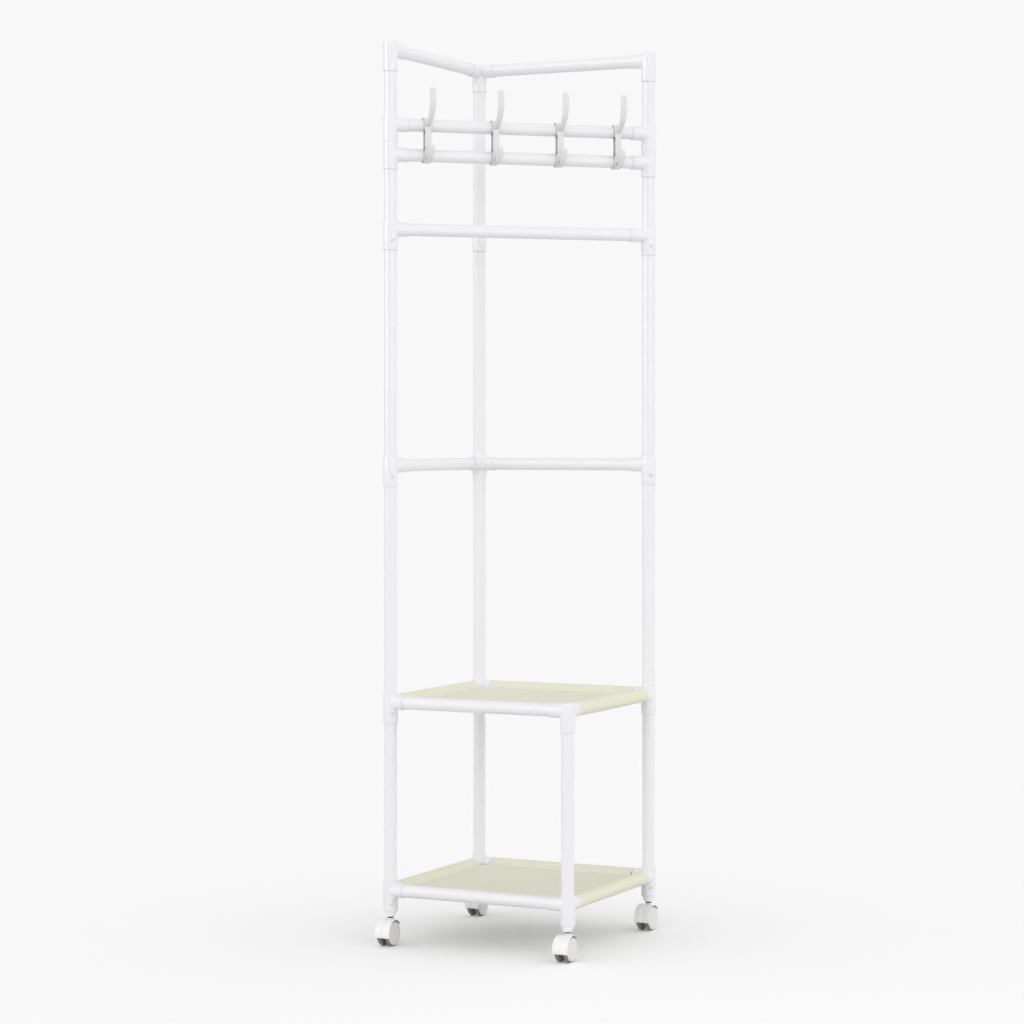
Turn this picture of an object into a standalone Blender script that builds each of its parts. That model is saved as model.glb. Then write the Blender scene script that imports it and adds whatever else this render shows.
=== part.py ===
"""Clothes stand with two cloth shelves on four twin-wheel casters.

The plan is a square seen corner-on. X runs along its diagonal from the left post to
the right post, -Y points into the room, +Z is up and the floor is z = 0. Metres.
"""

import math

import bmesh
import bpy
from mathutils import Vector

# Pipes
POST_SPACING = 0.392
PIPE_OD = 0.0254
PIPE_WALL = 0.0012
PIPE_SIDES = 16

# Heights of the rail axes above the floor
LOWER_SHELF_Z = 0.110
UPPER_SHELF_Z = 0.4855
MID_RAIL_Z = 0.9595
TOP_RAIL_Z = 1.793

# Drops from one rail axis to the next, down from the top rails
TOP_TO_HOOK_RAIL = 0.1505
HOOK_RAIL_DROP = 0.0604
HOOK_TO_COAT_RAIL = 0.210

# Pipe joints
FIT = 0.0003
SLEEVE_WALL = 0.0017
ARM_WALL = 0.0014
SLEEVE_ABOVE = 0.0185
SLEEVE_BELOW = 0.0415
TOP_ABOVE = 0.0165
TOP_BELOW = 0.0435
MID_REAR_BELOW = 0.034
HOOK_TEE_ABOVE = 0.0192
HOOK_TEE_SEAM = 0.0346
HOOK_TEE_BELOW = 0.0292
SEAM_DEPTH = 0.0005
TEE_REACH = 0.035
SHELF_REACH = 0.032
LONG_REACH = 0.0445
CAP_WALL = 0.003
CAP_ROUND = 0.002
ELBOW_ROUND = 0.006
COUPLING_LENGTH = 0.050
COUPLING_RISE = 0.0025

# Shelf cloths
CLOTH_THICK = 0.0012
PANEL_RISE = 0.0008
CLOTH_END_GAP = 0.0006

# Coat hooks
HOOK_1_X = -0.2035
HOOK_2_X = -0.060
HOOK_3_X = 0.078
HOOK_4_X = 0.204
HOOK_WIDTH = 0.0134
HOOK_FIT = 0.0004
CLIP_WALL = 0.0020
CLIP_REACH_DEG = 200.0
CLIP_STEPS = 8
SPINE_SIDE_DEG = 50.0
SPINE_FRONT = 0.019
PRONG_THICK = 0.0064
PRONG_OUT = 0.0485
PRONG_RISE = 0.0745
LOWER_PRONG_OUT = 0.048
LOWER_PRONG_RISE = 0.0215

# Casters
WHEEL_DIAMETER = 0.050
WHEEL_SIDES = 16
WHEEL_INNER = 0.005
WHEEL_OUTER = 0.0168
TREAD_OUTER = 0.0132
CAP_DIAMETER = 0.046
CAP_SLOPE = 0.0012
CAP_DOME = 0.0016
CAP_THICK = 0.0026
AXLE_PLAY = 0.0004
CASTER_TRAIL = 0.009
HOOD_GAP = 0.0010
HOOD_WALL = 0.0015
HOOD_HALF_WIDTH = 0.0158
HOOD_HEM_Z = 0.0145
HOOD_SIDES = 16
WEB_GAP = 0.0005
AXLE_DIAMETER = 0.006
STEM_DIAMETER = 0.0075
STEM_LENGTH = 0.018
STEM_PIN_DIAMETER = 0.006
STEM_PIN_LENGTH = 0.022
STEM_COLLAR_DIAMETER = 0.012
STEM_COLLAR_HEIGHT = 0.0022
BOSS_WALL = 0.0035
BOSS_RISE = 0.0015
PLUG_LENGTH = 0.024
PLUG_STEP = 0.0016
STEM_SIDES = 12

OVERCUT = 0.004

# Sizes that follow from the ones above
HOOK_RAIL_Z = TOP_RAIL_Z - TOP_TO_HOOK_RAIL
COAT_RAIL_Z = HOOK_RAIL_Z - HOOK_TO_COAT_RAIL
HALF_DIAGONAL = POST_SPACING / math.sqrt(2)
PIPE_R = PIPE_OD / 2
BORE_R = PIPE_R + FIT
SLEEVE_R = BORE_R + SLEEVE_WALL
ARM_R = BORE_R + ARM_WALL
CLOTH_R = BORE_R + CLOTH_THICK
WHEEL_R = WHEEL_DIAMETER / 2
WHEEL_CORNER_R = WHEEL_R / math.cos(math.pi / WHEEL_SIDES)
HOOD_INNER_R = WHEEL_CORNER_R + HOOD_GAP
HOOD_R = HOOD_INNER_R + HOOD_WALL
BOSS_TOP_Z = WHEEL_R + HOOD_R + BOSS_RISE
SLEEVE_END_Z = LOWER_SHELF_Z - SLEEVE_BELOW
COLLAR_TOP_Z = BOSS_TOP_Z + FIT + STEM_COLLAR_HEIGHT

LEFT = Vector((-HALF_DIAGONAL, 0.0, 0.0))
RIGHT = Vector((HALF_DIAGONAL, 0.0, 0.0))
REAR = Vector((0.0, HALF_DIAGONAL, 0.0))
FRONT = Vector((0.0, -HALF_DIAGONAL, 0.0))
EIGHTH = math.pi / 4


def new_collection(name):
    made = bpy.data.collections.new(name)
    bpy.context.scene.collection.children.link(made)
    return made


def new_material(name, colour, roughness, metallic=0.0):
    made = bpy.data.materials.new(name)
    made.use_nodes = True
    shader = made.node_tree.nodes["Principled BSDF"]
    shader.inputs["Base Color"].default_value = (*colour, 1.0)
    shader.inputs["Roughness"].default_value = roughness
    shader.inputs["Metallic"].default_value = metallic
    made.diffuse_color = (*colour, 1.0)
    return made


def helper(name, mesh):
    """A construction object, such as a cutter, that isn't part of the stand."""
    made = bpy.data.objects.new(name, mesh)
    made.hide_render = True
    made.display_type = "WIRE"
    cutters.objects.link(made)
    return made


def baked(obj):
    """The object's mesh with its modifiers applied, welded and facing out."""
    bpy.context.view_layer.update()
    graph = bpy.context.evaluated_depsgraph_get()
    mesh = bpy.data.meshes.new_from_object(obj.evaluated_get(graph))
    bm = bmesh.new()
    bm.from_mesh(mesh)
    bmesh.ops.remove_doubles(bm, verts=bm.verts, dist=1e-6)
    bmesh.ops.recalc_face_normals(bm, faces=bm.faces)
    bm.to_mesh(mesh)
    bm.free()
    mesh.shade_smooth()
    mesh.set_sharp_from_angle(angle=math.radians(35))
    mesh.name = obj.name
    return mesh


def turned(name, profile, steps, closed=False, phase=0.0):
    """A profile of (radius, height) points, running down its outer side, turned about Z."""
    mesh = bpy.data.meshes.new(name + "_profile")
    points = [(r * math.cos(phase), r * math.sin(phase), z) for r, z in profile]
    edges = [(i, i + 1) for i in range(len(points) - 1)]
    if closed:
        edges.append((len(points) - 1, 0))
    mesh.from_pydata(points, edges, [])
    obj = helper(name, mesh)
    screw = obj.modifiers.new("Turn", "SCREW")
    screw.axis = "Z"
    screw.angle = 2 * math.pi
    screw.steps = steps
    screw.render_steps = steps
    screw.use_merge_vertices = True
    screw.merge_threshold = 1e-5
    return take(obj)


def take(obj):
    """The baked mesh of a construction object, which is then removed."""
    mesh = baked(obj)
    bpy.data.objects.remove(obj, do_unlink=True)
    return mesh


def bar(name, radius, start, end, sides=PIPE_SIDES):
    """A solid round bar along local Z from start to end."""
    mesh = bpy.data.meshes.new(name)
    bm = bmesh.new()
    bmesh.ops.create_cone(bm, cap_ends=True, segments=sides, radius1=radius, radius2=radius, depth=end - start)
    bmesh.ops.translate(bm, verts=bm.verts, vec=(0.0, 0.0, (start + end) / 2))
    bm.to_mesh(mesh)
    bm.free()
    return helper(name, mesh)


def plate(name, outline, thickness):
    """A flat outline in local XY, centred on z = 0."""
    curve = bpy.data.curves.new(name, "CURVE")
    curve.dimensions = "2D"
    curve.fill_mode = "BOTH"
    curve.extrude = thickness / 2
    spline = curve.splines.new("POLY")
    spline.points.add(len(outline) - 1)
    for point, (x, y) in zip(spline.points, outline):
        point.co = (x, y, 0.0, 1.0)
    spline.use_cyclic_u = True
    return helper(name, take(helper(name + "_outline", curve)))


def level(obj, angle, offset=(0.0, 0.0, 0.0)):
    """Lays a bar made along Z down, pointing along the plan angle."""
    obj.rotation_euler = (0.0, math.pi / 2, angle)
    obj.location = offset
    return obj


def shaped(base, steps):
    """The base after a run of Boolean operations; the tools are removed."""
    for operation, tool in steps:
        modifier = base.modifiers.new(tool.name, "BOOLEAN")
        modifier.operation = operation
        modifier.solver = "EXACT"
        modifier.object = tool
    mesh = take(base)
    for _, tool in steps:
        bpy.data.objects.remove(tool, do_unlink=True)
    return mesh


def arc(centre, radius, start_deg, end_deg, count):
    """Points on an arc, ends included, in the order given."""
    angles = [math.radians(start_deg + (end_deg - start_deg) * i / count) for i in range(count + 1)]
    return [(centre[0] + radius * math.cos(a), centre[1] + radius * math.sin(a)) for a in angles]


def bent(start, pull, end, count):
    """Points and unit normals along a quadratic curve."""
    found = []
    for i in range(count + 1):
        t = i / count
        point = start * (1 - t) ** 2 + pull * 2 * t * (1 - t) + end * t * t
        along = ((pull - start) * (1 - t) + (end - pull) * t).normalized()
        found.append((point, Vector((-along.y, along.x))))
    return found


def add(name, data, material, location=(0.0, 0.0, 0.0), rotation=(0.0, 0.0, 0.0), parent=None):
    """One named piece of the stand."""
    obj = bpy.data.objects.new(name, data)
    if not data.materials:
        data.materials.append(material)
    obj.location = location
    obj.rotation_euler = rotation
    obj.parent = parent
    parts.objects.link(obj)
    return obj


def tube(name, length):
    """A hollow pipe along local Z from 0 to its length."""
    inner = PIPE_R - PIPE_WALL
    return turned(name, [(PIPE_R, length), (PIPE_R, 0.0), (inner, 0.0), (inner, length)], PIPE_SIDES, closed=True)


def rail(name, start, end, height):
    """A pipe between two posts, its ends in the sockets of their joints."""
    run = (end - start).xy
    direction = run.normalized()
    inset = SLEEVE_R + FIT
    origin = start.xy + direction * inset
    mesh = tube(name, run.length - 2 * inset)
    angle = math.atan2(direction.y, direction.x)
    return add(name, mesh, pipe_white, (origin.x, origin.y, height), (0.0, math.pi / 2, angle))


def post(name, place, top):
    """An upright pipe with its end plug, a dome bored for the caster's stem, in its foot."""
    inner = PIPE_R - PIPE_WALL
    plug_r = inner - PLUG_STEP
    bore = STEM_DIAMETER / 2 + FIT
    foot = COLLAR_TOP_Z + FIT
    lip = STEM_COLLAR_DIAMETER / 2
    dome = [
        (lip + (plug_r - lip) * math.sin(a), SLEEVE_END_Z - (SLEEVE_END_Z - foot) * math.cos(a))
        for a in (0.0, EIGHTH, 2 * EIGHTH)
    ]
    profile = [
        (0.0, foot + STEM_LENGTH + FIT),
        (bore, foot + STEM_LENGTH + FIT),
        (bore, foot),
        *dome,
        (PIPE_R, SLEEVE_END_Z),
        (PIPE_R, top),
        (inner, top),
        (inner, SLEEVE_END_Z + PLUG_LENGTH),
        (0.0, SLEEVE_END_Z + PLUG_LENGTH),
    ]
    return add(name, turned(name, profile, PIPE_SIDES), pipe_white, (place.x, place.y, 0.0))


def sleeve_profile(above, below, rounding, seam):
    """The outside of a sleeve: bevelled at a closed top, nicked where two tees meet."""
    points = [(0.0, above)]
    if rounding:
        points += [(SLEEVE_R - rounding, above), (SLEEVE_R, above - rounding)]
    else:
        points.append((SLEEVE_R, above))
    if seam:
        points += [(SLEEVE_R, SEAM_DEPTH - seam), (SLEEVE_R - SEAM_DEPTH, -seam), (SLEEVE_R, -seam - SEAM_DEPTH)]
    points += [(SLEEVE_R, -below), (0.0, -below)]
    return points


def joint_mesh(name, above, below, arms, bore_top=None, rounding=0.0, seam=0.0):
    """A moulded pipe joint: an upright sleeve with socket arms of (angle, reach, height).

    bore_top closes the sleeve at that height; left out, the post passes right through.
    """
    base = helper(name, turned(name + "_sleeve", sleeve_profile(above, below, rounding, seam), PIPE_SIDES))
    steps = []
    for i, (angle, reach, height) in enumerate(arms):
        steps.append(("UNION", level(bar(f"{name}_arm_{i}", ARM_R, 0.0, reach), angle, (0.0, 0.0, height))))
    for i, (angle, reach, height) in enumerate(arms):
        socket = bar(f"{name}_socket_{i}", BORE_R, SLEEVE_R, reach + OVERCUT)
        steps.append(("DIFFERENCE", level(socket, angle, (0.0, 0.0, height))))
    end = above + OVERCUT if bore_top is None else bore_top
    steps.append(("DIFFERENCE", bar(name + "_bore", BORE_R, -below - OVERCUT, end)))
    return shaped(base, steps)


def cloth_mesh(name):
    """A panel with a sleeve round three of its four rails, in the shelf's own square.

    Local X runs along the bare front left rail from the left post, local Y along the
    rear left rail.
    """
    side = POST_SPACING
    hem = PIPE_R + CLOTH_END_GAP
    cut = SHELF_REACH + ARM_R + CLOTH_END_GAP
    outline = [
        (cut - hem, hem),
        (side - cut + hem, hem),
        (side, cut),
        (side, side - cut),
        (side - cut, side),
        (cut, side),
        (0.0, side - cut),
        (0.0, cut),
    ]
    panel = plate(name, outline, CLOTH_THICK)
    panel.location.z = PANEL_RISE
    first = SHELF_REACH + CLOTH_END_GAP
    last = side - first
    rails = ((2 * EIGHTH, (0.0, 0.0, 0.0)), (2 * EIGHTH, (side, 0.0, 0.0)), (0.0, (0.0, side, 0.0)))
    steps = []
    for i, (angle, offset) in enumerate(rails):
        steps.append(("UNION", level(bar(f"{name}_sleeve_{i}", CLOTH_R, first, last), angle, offset)))
    for i, (angle, offset) in enumerate(rails):
        core = bar(f"{name}_core_{i}", BORE_R, first - OVERCUT, last + OVERCUT)
        steps.append(("DIFFERENCE", level(core, angle, offset)))
    mesh = take_moved(panel, steps)
    return mesh


def take_moved(panel, steps):
    """Like shaped, for a base that isn't at its origin: the result is in the base's own place."""
    shift = panel.location.copy()
    mesh = shaped(panel, steps)
    for vertex in mesh.vertices:
        vertex.co += shift
    return mesh


def hook_mesh():
    """A double coat hook: its side outline, with outward as X and up as Y, given a width.

    The origin is midway between the two rails. Two open clips hold the rails, a spine
    joins them, a long prong rises from the upper one and a short one from the lower.
    """
    half = HOOK_RAIL_DROP / 2
    upper = Vector((0.0, half))
    lower = Vector((0.0, -half))
    half_step = math.radians(CLIP_REACH_DEG + SPINE_SIDE_DEG) / CLIP_STEPS / 2
    inner = (PIPE_R + HOOK_FIT) / math.cos(half_step)
    outer = inner + CLIP_WALL
    web = PRONG_THICK / 2
    long_tip = Vector((PRONG_OUT, half + PRONG_RISE - web))
    long_root = Vector((SPINE_FRONT - web, half - web))
    long_pull = Vector((PRONG_OUT - 0.4 * web, half + 0.3 * PRONG_RISE))
    short_tip = Vector((LOWER_PRONG_OUT, LOWER_PRONG_RISE - half - web))
    foot = -half - outer + web
    short_root = Vector((SPINE_FRONT - web, foot))
    short_pull = Vector((LOWER_PRONG_OUT + 0.4 * web, foot))
    outline = arc(upper, outer, CLIP_REACH_DEG, 40.0, 6)
    long_prong = bent(long_root, long_pull, long_tip, 6)
    outline += [tuple(p + n * web) for p, n in long_prong[2:]]
    outline += arc(long_tip, web, 135.0, 45.0, 2)
    outline += [tuple(p - n * web) for p, n in reversed(long_prong[1:])]
    short_prong = bent(short_root, short_pull, short_tip, 6)
    inside = [p + n * web for p, n in short_prong]
    outline.append((SPINE_FRONT, half - 2 * web))
    outline.append((SPINE_FRONT, -half))
    outline += [tuple(p) for p in inside if p.x > SPINE_FRONT + web]
    outline += arc(short_tip, web, 135.0, 45.0, 2)
    outline += [tuple(p - n * web) for p, n in reversed(short_prong)]
    outline += arc(lower, outer, -90.0, -CLIP_REACH_DEG, 5)
    outline += arc(lower, inner, -CLIP_REACH_DEG, SPINE_SIDE_DEG, CLIP_STEPS)
    outline += arc(upper, inner, -SPINE_SIDE_DEG, CLIP_REACH_DEG, CLIP_STEPS)
    return take(plate("coat_hook", outline, HOOK_WIDTH))


def wheel_mesh():
    """One wheel, turned about local Z from its inner face to its domed outer cap."""
    cap_r = CAP_DIAMETER / 2
    bore = AXLE_DIAMETER / 2 + FIT
    profile = [
        (0.0, WHEEL_OUTER),
        (cap_r - CAP_SLOPE, WHEEL_OUTER - CAP_DOME),
        (cap_r, TREAD_OUTER),
        (WHEEL_CORNER_R, TREAD_OUTER),
        (WHEEL_CORNER_R, WHEEL_INNER),
        (bore, WHEEL_INNER),
        (bore, WHEEL_OUTER - CAP_THICK),
        (0.0, WHEEL_OUTER - CAP_THICK),
    ]
    return turned("caster_wheel", profile, WHEEL_SIDES, phase=math.pi / WHEEL_SIDES)


def hood_mesh():
    """The caster hood with its web and pressed-in axle, turned about the axle.

    Local Z is the axle, the origin its middle. Local X points down, so that the hood's
    closed back faces local Y; the stem stands CASTER_TRAIL in front of the axle.
    """
    web = WHEEL_INNER - WEB_GAP
    axle_r = AXLE_DIAMETER / 2
    axle_end = WHEEL_OUTER - CAP_THICK - AXLE_PLAY
    lip = HOOD_HALF_WIDTH
    half = [
        (0.0, axle_end),
        (axle_r, axle_end),
        (axle_r, web),
        (HOOD_INNER_R, web),
        (HOOD_INNER_R, lip),
        (HOOD_R, lip),
    ]
    profile = half + [(r, -t) for r, t in reversed(half)]
    base = helper("caster_hood", turned("caster_hood_turned", profile, HOOD_SIDES, phase=math.pi / HOOD_SIDES))
    drop = WHEEL_R - HOOD_HEM_Z
    pin_r = STEM_PIN_DIAMETER / 2 + FIT
    front = -CASTER_TRAIL - pin_r - (web - pin_r)
    far = 2 * HOOD_R
    opening = [
        (drop, far),
        (drop, -0.2 * HOOD_R),
        (-0.1 * HOOD_R, front),
        (-0.64 * HOOD_R, front),
        (-0.80 * HOOD_R, -far),
        (far, -far),
        (far, far),
    ]
    mouth = plate("caster_mouth", opening, 4 * lip)
    top = BOSS_TOP_Z - WHEEL_R
    boss = bar("caster_boss", STEM_PIN_DIAMETER / 2 + FIT + BOSS_WALL, 0.72 * HOOD_R, top, STEM_SIDES)
    bore = bar("caster_stem_bore", pin_r, top - STEM_PIN_LENGTH - FIT, top + OVERCUT, STEM_SIDES)
    for tool in (boss, bore):
        tool.rotation_euler = (0.0, -math.pi / 2, 0.0)
        tool.location = (0.0, -CASTER_TRAIL, 0.0)
    steps = [("DIFFERENCE", mouth), ("UNION", boss)]
    room_r = (WHEEL_CORNER_R + HOOD_INNER_R) / 2
    for name, near, end in (("caster_room_a", web, lip + OVERCUT), ("caster_room_b", -lip - OVERCUT, -web)):
        ring = [(room_r, end), (room_r, near), (0.5 * room_r, near), (0.5 * room_r, end)]
        steps.append(("DIFFERENCE", helper(name, turned(name, ring, HOOD_SIDES, True, math.pi / HOOD_SIDES))))
    return shaped(base, steps + [("DIFFERENCE", bore)])


def stem_mesh():
    """A caster's steel stem, turned about the post's axis, with z above the floor.

    Its shank is in the post's plug, its pin in the hood.
    """
    shank_r = STEM_DIAMETER / 2
    collar_r = STEM_COLLAR_DIAMETER / 2
    pin_r = STEM_PIN_DIAMETER / 2
    collar_base = BOSS_TOP_Z + FIT
    profile = [
        (0.0, COLLAR_TOP_Z + STEM_LENGTH),
        (shank_r, COLLAR_TOP_Z + STEM_LENGTH),
        (shank_r, COLLAR_TOP_Z),
        (collar_r, COLLAR_TOP_Z),
        (collar_r, collar_base),
        (pin_r, collar_base),
        (pin_r, BOSS_TOP_Z - STEM_PIN_LENGTH),
        (0.0, BOSS_TOP_Z - STEM_PIN_LENGTH),
    ]
    return turned("caster_stem", profile, STEM_SIDES)


def add_caster(place, side):
    """Stem, swivelling hood and two wheels under one post."""
    stem = add(f"caster_stem_{side}", stem_turned, stem_steel, (place.x, place.y, 0.0))
    swivel = bpy.data.objects.new(f"caster_swivel_{side}", None)
    swivel.location = (place.x, place.y, WHEEL_R)
    parts.objects.link(swivel)
    trail = (-CASTER_TRAIL * math.cos(EIGHTH), -CASTER_TRAIL * math.sin(EIGHTH), 0.0)
    down = (0.0, math.pi / 2, -EIGHTH)
    up = (0.0, math.pi / 2, 3 * EIGHTH)
    add(f"caster_hood_{side}", hood_turned, caster_white, trail, up, swivel)
    add(f"caster_wheel_{side}_a", wheel_turned, wheel_grey, trail, down, swivel)
    add(f"caster_wheel_{side}_b", wheel_turned, wheel_grey, trail, up, swivel)
    return stem


for leftover in list(bpy.data.objects):
    bpy.data.objects.remove(leftover, do_unlink=True)

parts = new_collection("Clothes stand with shelf")
cutters = new_collection("Cutters")
cutters.hide_render = True

pipe_white = new_material("pipe_white", (0.86, 0.86, 0.87), 0.32)
joint_white = new_material("joint_white", (0.87, 0.87, 0.88), 0.38)
hook_white = new_material("hook_white", (0.83, 0.82, 0.80), 0.42)
shelf_cloth = new_material("shelf_cloth", (0.72, 0.71, 0.56), 0.85)
caster_white = new_material("caster_white", (0.90, 0.90, 0.89), 0.35)
wheel_grey = new_material("wheel_grey", (0.10, 0.10, 0.10), 0.60)
stem_steel = new_material("stem_steel", (0.07, 0.07, 0.08), 0.40, 0.8)

# Posts
post("post_left", LEFT, TOP_RAIL_Z + TOP_ABOVE - CAP_WALL - FIT)
post("post_right", RIGHT, TOP_RAIL_Z + TOP_ABOVE - CAP_WALL - FIT)
post("post_rear", REAR, TOP_RAIL_Z - FIT)
post("post_front", FRONT, UPPER_SHELF_Z + SLEEVE_ABOVE - CAP_WALL - FIT)

# Rails
rail("top_rail_left", LEFT, REAR, TOP_RAIL_Z)
rail("top_rail_right", REAR, RIGHT, TOP_RAIL_Z)
rail("hook_rail_upper", LEFT, RIGHT, HOOK_RAIL_Z)
rail("hook_rail_lower", LEFT, RIGHT, HOOK_RAIL_Z - HOOK_RAIL_DROP)
rail("coat_rail", LEFT, RIGHT, COAT_RAIL_Z)
rail("mid_rail_left", LEFT, REAR, MID_RAIL_Z)
rail("mid_rail_right", REAR, RIGHT, MID_RAIL_Z)
for shelf, shelf_z in (("upper_shelf", UPPER_SHELF_Z), ("lower_shelf", LOWER_SHELF_Z)):
    rail(f"{shelf}_rail_front_left", LEFT, FRONT, shelf_z)
    rail(f"{shelf}_rail_front_right", FRONT, RIGHT, shelf_z)
    rail(f"{shelf}_rail_rear_left", LEFT, REAR, shelf_z)
    rail(f"{shelf}_rail_rear_right", REAR, RIGHT, shelf_z)

# Joints, moulded with their arms about local +X, which is turned to the stand's middle
to_left_and_right = [(-EIGHTH, SHELF_REACH, 0.0), (EIGHTH, SHELF_REACH, 0.0)]
long_pair = [(-EIGHTH, LONG_REACH, 0.0), (EIGHTH, LONG_REACH, 0.0)]
corner = joint_mesh("corner_joint", SLEEVE_ABOVE, SLEEVE_BELOW, to_left_and_right)
capped_corner = joint_mesh(
    "capped_corner_joint",
    SLEEVE_ABOVE,
    SLEEVE_BELOW,
    to_left_and_right,
    bore_top=SLEEVE_ABOVE - CAP_WALL,
    rounding=CAP_ROUND,
)
mid_corner = joint_mesh("mid_corner_joint", SLEEVE_ABOVE, MID_REAR_BELOW, long_pair)
elbow = joint_mesh("top_elbow", ARM_R - FIT, TOP_BELOW, long_pair, bore_top=0.0, rounding=ELBOW_ROUND)
long_tee = joint_mesh("long_tee", SLEEVE_ABOVE, SLEEVE_BELOW, [(0.0, LONG_REACH, 0.0)])
capped_tee = joint_mesh(
    "capped_tee",
    TOP_ABOVE,
    TOP_BELOW,
    [(0.0, LONG_REACH, 0.0)],
    bore_top=TOP_ABOVE - CAP_WALL,
    rounding=CAP_ROUND,
)
tee = joint_mesh("tee", SLEEVE_ABOVE, SLEEVE_BELOW, [(0.0, TEE_REACH, 0.0)])
double_tee = joint_mesh(
    "double_tee",
    HOOK_TEE_ABOVE,
    HOOK_RAIL_DROP + HOOK_TEE_BELOW,
    [(0.0, TEE_REACH, 0.0), (0.0, TEE_REACH, -HOOK_RAIL_DROP)],
    seam=HOOK_TEE_SEAM,
)
coupling = turned(
    "coupling",
    [
        (SLEEVE_R, COUPLING_LENGTH / 2),
        (SLEEVE_R, -COUPLING_LENGTH / 2),
        (BORE_R, -COUPLING_LENGTH / 2),
        (BORE_R, COUPLING_LENGTH / 2),
    ],
    PIPE_SIDES,
    closed=True,
)

for joint_name, joint_data, joint_place, joint_z, joint_turn in (
    ("top_joint_left", capped_tee, LEFT, TOP_RAIL_Z, EIGHTH),
    ("top_joint_right", capped_tee, RIGHT, TOP_RAIL_Z, 3 * EIGHTH),
    ("top_joint_rear", elbow, REAR, TOP_RAIL_Z, -2 * EIGHTH),
    ("hook_tees_left", double_tee, LEFT, HOOK_RAIL_Z, 0.0),
    ("hook_tees_right", double_tee, RIGHT, HOOK_RAIL_Z, 4 * EIGHTH),
    ("coat_tee_left", tee, LEFT, COAT_RAIL_Z, 0.0),
    ("coat_tee_right", tee, RIGHT, COAT_RAIL_Z, 4 * EIGHTH),
    ("post_coupling_rear", coupling, REAR, COAT_RAIL_Z + COUPLING_RISE, 0.0),
    ("mid_tee_left", long_tee, LEFT, MID_RAIL_Z, EIGHTH),
    ("mid_tee_right", long_tee, RIGHT, MID_RAIL_Z, 3 * EIGHTH),
    ("mid_joint_rear", mid_corner, REAR, MID_RAIL_Z, -2 * EIGHTH),
    ("upper_shelf_joint_left", corner, LEFT, UPPER_SHELF_Z, 0.0),
    ("upper_shelf_joint_right", corner, RIGHT, UPPER_SHELF_Z, 4 * EIGHTH),
    ("upper_shelf_joint_rear", corner, REAR, UPPER_SHELF_Z, -2 * EIGHTH),
    ("upper_shelf_joint_front", capped_corner, FRONT, UPPER_SHELF_Z, 2 * EIGHTH),
    ("lower_shelf_joint_left", corner, LEFT, LOWER_SHELF_Z, 0.0),
    ("lower_shelf_joint_right", corner, RIGHT, LOWER_SHELF_Z, 4 * EIGHTH),
    ("lower_shelf_joint_rear", corner, REAR, LOWER_SHELF_Z, -2 * EIGHTH),
    ("lower_shelf_joint_front", corner, FRONT, LOWER_SHELF_Z, 2 * EIGHTH),
):
    add(joint_name, joint_data, joint_white, (joint_place.x, joint_place.y, joint_z), (0.0, 0.0, joint_turn))

# Shelf cloths
cloth = cloth_mesh("shelf_cloth")
for cloth_name, cloth_z in (("upper_shelf_cloth", UPPER_SHELF_Z), ("lower_shelf_cloth", LOWER_SHELF_Z)):
    add(cloth_name, cloth, shelf_cloth, (LEFT.x, LEFT.y, cloth_z), (0.0, 0.0, -EIGHTH))

# Coat hooks
hook = hook_mesh()
for number, hook_x in enumerate((HOOK_1_X, HOOK_2_X, HOOK_3_X, HOOK_4_X), start=1):
    hook_place = (hook_x, 0.0, HOOK_RAIL_Z - HOOK_RAIL_DROP / 2)
    add(f"coat_hook_{number}", hook, hook_white, hook_place, (math.pi / 2, 0.0, -math.pi / 2))

# Casters
wheel_turned = wheel_mesh()
hood_turned = hood_mesh()
stem_turned = stem_mesh()
for caster_side, caster_place in (("left", LEFT), ("right", RIGHT), ("rear", REAR), ("front", FRONT)):
    add_caster(caster_place, caster_side)
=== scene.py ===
import math

import bmesh
import bpy
from mathutils import Matrix, Vector


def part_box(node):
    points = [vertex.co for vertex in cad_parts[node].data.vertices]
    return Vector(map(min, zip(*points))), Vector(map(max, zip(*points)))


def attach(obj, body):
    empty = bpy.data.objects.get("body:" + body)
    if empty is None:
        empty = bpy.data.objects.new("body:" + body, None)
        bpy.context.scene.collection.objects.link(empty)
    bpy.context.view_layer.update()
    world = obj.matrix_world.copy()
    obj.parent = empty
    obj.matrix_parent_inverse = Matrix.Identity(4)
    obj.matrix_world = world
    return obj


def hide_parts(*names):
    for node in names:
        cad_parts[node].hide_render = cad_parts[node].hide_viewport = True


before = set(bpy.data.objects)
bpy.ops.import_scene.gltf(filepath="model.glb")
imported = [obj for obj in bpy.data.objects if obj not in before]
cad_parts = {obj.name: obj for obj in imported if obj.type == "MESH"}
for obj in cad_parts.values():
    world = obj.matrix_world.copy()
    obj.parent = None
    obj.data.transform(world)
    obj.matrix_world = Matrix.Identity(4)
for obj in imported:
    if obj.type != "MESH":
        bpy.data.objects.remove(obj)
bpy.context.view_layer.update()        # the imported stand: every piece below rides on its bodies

scene = bpy.context.scene
eighth, quarter, wholeTurn = math.pi / 4, math.pi / 2, 2 * math.pi
sides = ("left", "right", "rear", "front")


def middleOf(node):
    low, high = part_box(node)
    return (low + high) / 2


posts = {side: Vector((*middleOf("post_" + side).xy, 0.0)) for side in sides}
levelNodes = {
    "top": "top_rail_left", "hook": "hook_rail_upper", "hookLower": "hook_rail_lower", "coat": "coat_rail",
    "coupling": "post_coupling_rear", "mid": "mid_rail_left",
    "upperShelf": "upper_shelf_rail_front_left", "lowerShelf": "lower_shelf_rail_front_left",
}
heights = {level: middleOf(node).z for level, node in levelNodes.items()}
hookDrop = heights["hook"] - heights["hookLower"]
stand = bpy.data.collections.new("Clothes stand")
scene.collection.children.link(stand)
print("frame loaded, posts at", {side: [round(v, 4) for v in place.xy] for side, place in posts.items()})


# small mesh tools

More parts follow.
